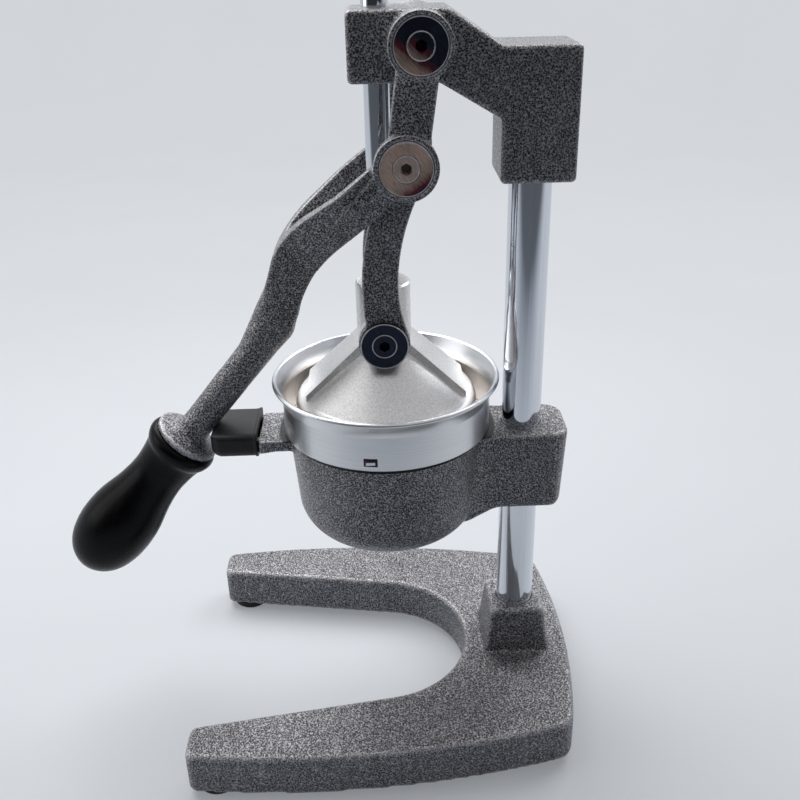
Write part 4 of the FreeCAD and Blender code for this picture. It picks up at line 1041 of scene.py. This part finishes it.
def seen_directly(shader, fade):
    """One for what the camera, a mirror or glass sees, and nought for light that falls on things."""
    path = shader.add("ShaderNodeLightPath").outputs
    mirrored = shader.sum("MULTIPLY", path["Is Glossy Ray"], fade)
    mirrored = shader.sum("MAXIMUM", mirrored, path["Is Transmission Ray"])
    return shader.sum("MAXIMUM", path["Is Camera Ray"], mirrored)


def floor_material(settings):
    """Matt floor: pale to the eye, dimmer in what it throws back, above all far in front of the press."""
    shade = tuple(settings.floor)
    shader = Shader("stage_floor", roughness=0.9)
    cloth = shader.noise(6.0, detail=2.0)
    tone = shader.ramp(cloth, (0.3, lighter(shade, 0.985)), (0.7, shade))
    fade = shader.spread(shader.axis(shader.place, "X"), 0.2, 0.8, 1.0, 0.12)
    direct = seen_directly(shader, fade)
    bounced = shader.sum("MAXIMUM", direct, shader.sum("MULTIPLY", fade, settings.bounce))
    cool = shader.mixed(direct, (*settings.bounce_tint, 1), tone)
    shader.shine("Base Color", shader.mixed(bounced, (0, 0, 0, 1), cool))
    plain = shader.add("ShaderNodeEmission", {"Color": tone, "Strength": 0.95})
    away, _ = shader.round_axis("X", "Y", (0, 0, 0))
    glow = shader.spread(away, 0.3, 0.8, settings.floor_glow, settings.wall_glow)
    amount = shader.sum("MULTIPLY", direct, glow)
    ends = {0: amount, 1: shader.surface.outputs[0], 2: plain.outputs[0]}
    mixed = shader.add("ShaderNodeMixShader", ends)
    output = shader.tree.nodes["Material Output"]
    shader.feed(output.inputs["Surface"], mixed.outputs[0])
    return shader.material


def make_backdrop(settings):
    """Floor that sweeps up behind the press."""
    near, far, bend, top, half = 3.0, -1.6, 0.6, 3.2, 5.0
    made = bmesh.new()
    line = [made.verts.new((near, -half, 0))]
    for step in range(13):
        turn = radians(90) * step / 12
        line.append(made.verts.new((far - bend * sin(turn), -half, bend * (1 - cos(turn)))))
    line.append(made.verts.new((far - bend, -half, top)))
    edges = [made.edges.new(pair) for pair in zip(line, line[1:])]
    swept = bmesh.ops.extrude_edge_only(made, edges=edges)["geom"]
    moved = [part for part in swept if isinstance(part, bmesh.types.BMVert)]
    bmesh.ops.translate(made, verts=moved, vec=(0, 2 * half, 0))
    bmesh.ops.recalc_face_normals(made, faces=made.faces)
    mesh = bpy.data.meshes.new("backdrop")
    made.to_mesh(mesh)
    made.free()
    mesh.materials.append(floor_material(settings))
    mesh.shade_smooth()
    backdrop = bpy.data.objects.new("backdrop", mesh)
    bpy.context.scene.collection.objects.link(backdrop)


def make_world(room, shown):
    """Pale room, dimmer behind the camera, that metal and the camera see brighter than it lights."""
    world = bpy.data.worlds.new("studio")
    world.use_nodes = True
    nodes = Nodes(world.node_tree)
    back = nodes.tree.nodes["Background"]
    path = nodes.add("ShaderNodeLightPath").outputs
    seen = nodes.sum("MAXIMUM", path["Is Camera Ray"], path["Is Glossy Ray"])
    nodes.feed(back.inputs["Strength"], nodes.sum("MULTIPLY_ADD", seen, shown - room, room))
    place = nodes.add("ShaderNodeTexCoord").outputs["Generated"]
    height, forward = nodes.axis(place, "Z"), nodes.axis(place, "X")
    behind = nodes.sum("MULTIPLY_ADD", height, -0.9, forward)
    tone = nodes.ramp(behind, (0.12, (0.95, 0.96, 1.0)), (0.62, (0.06, 0.058, 0.06)))
    nodes.feed(back.inputs["Color"], tone)
    bpy.context.scene.world = world


def make_camera(settings):
    """Camera at the photograph's place, looking along -X with +Y to the right."""
    level = Matrix(((0, 0, 1), (1, 0, 0), (0, 1, 0)))
    down = Matrix.Rotation(-settings.pitch, 3, "Y")
    aside = Matrix.Rotation(-settings.yaw, 3, "Z")
    lean = Matrix.Rotation(settings.roll, 3, "Z")
    data = bpy.data.cameras.new("camera")
    data.lens = settings.lens
    data.sensor_width = 36.0
    data.clip_start = 0.01
    camera = bpy.data.objects.new("camera", data)
    place = Matrix.Translation((settings.camera_x, settings.camera_y, settings.camera_z))
    camera.matrix_world = place @ (aside @ down @ level @ lean).to_4x4()
    bpy.context.scene.collection.objects.link(camera)
    bpy.context.scene.camera = camera


class PRESS_OT_stage(bpy.types.Operator):
    """Set the floor, the lamps, the room and the camera"""

    bl_idname = "press.stage"
    bl_label = "Stage"

    def execute(self, context):
        settings = context.scene.press_stage
        make_camera(settings)
        make_backdrop(settings)
        make_world(settings.room, settings.shown)
        for name, setting in LAMPS.items():
            lamp(name, setting["place"], setting["size"], getattr(settings, name))
        context.scene.view_settings.view_transform = "Standard"
        return {"FINISHED"}


STEPS = [
    PRESS_OT_finishes,
    PRESS_OT_castings,
    PRESS_OT_rims,
    PRESS_OT_edges,
    PRESS_OT_grip,
    PRESS_OT_slot_tab,
    PRESS_OT_stage,
]
GROUPS = {
    "press_paint": PaintSettings,
    "press_metal": MetalSettings,
    "press_soft": SoftSettings,
    "press_casting": CastingSettings,
    "press_lever": LeverSettings,
    "press_sleeve": SleeveSettings,
    "press_grip": GripSettings,
    "press_edge": EdgeSettings,
    "press_rim": RimSettings,
    "press_tab": TabSettings,
    "press_stage": StageSettings,
}


class PRESS_PT_panel(bpy.types.Panel):
    """Steps that dress the press, in order"""

    bl_label = "Citrus press"
    bl_idname = "PRESS_PT_panel"
    bl_space_type = "VIEW_3D"
    bl_region_type = "UI"
    bl_category = "Press"

    def draw(self, context):
        for step in STEPS:
            self.layout.operator(step.bl_idname)


def register():
    for group in GROUPS.values():
        bpy.utils.register_class(group)
    for step in STEPS:
        bpy.utils.register_class(step)
    bpy.utils.register_class(PRESS_PT_panel)
    for name, group in GROUPS.items():
        setattr(bpy.types.Scene, name, bpy.props.PointerProperty(type=group))


def unregister():
    for name in GROUPS:
        delattr(bpy.types.Scene, name)
    bpy.utils.unregister_class(PRESS_PT_panel)
    for step in reversed(STEPS):
        bpy.utils.unregister_class(step)
    for group in reversed(GROUPS.values()):
        bpy.utils.unregister_class(group)


def main():
    register()
    for step in STEPS:
        group, action = step.bl_idname.split(".")
        getattr(getattr(bpy.ops, group), action)()


if __name__ == "__main__":
    main()
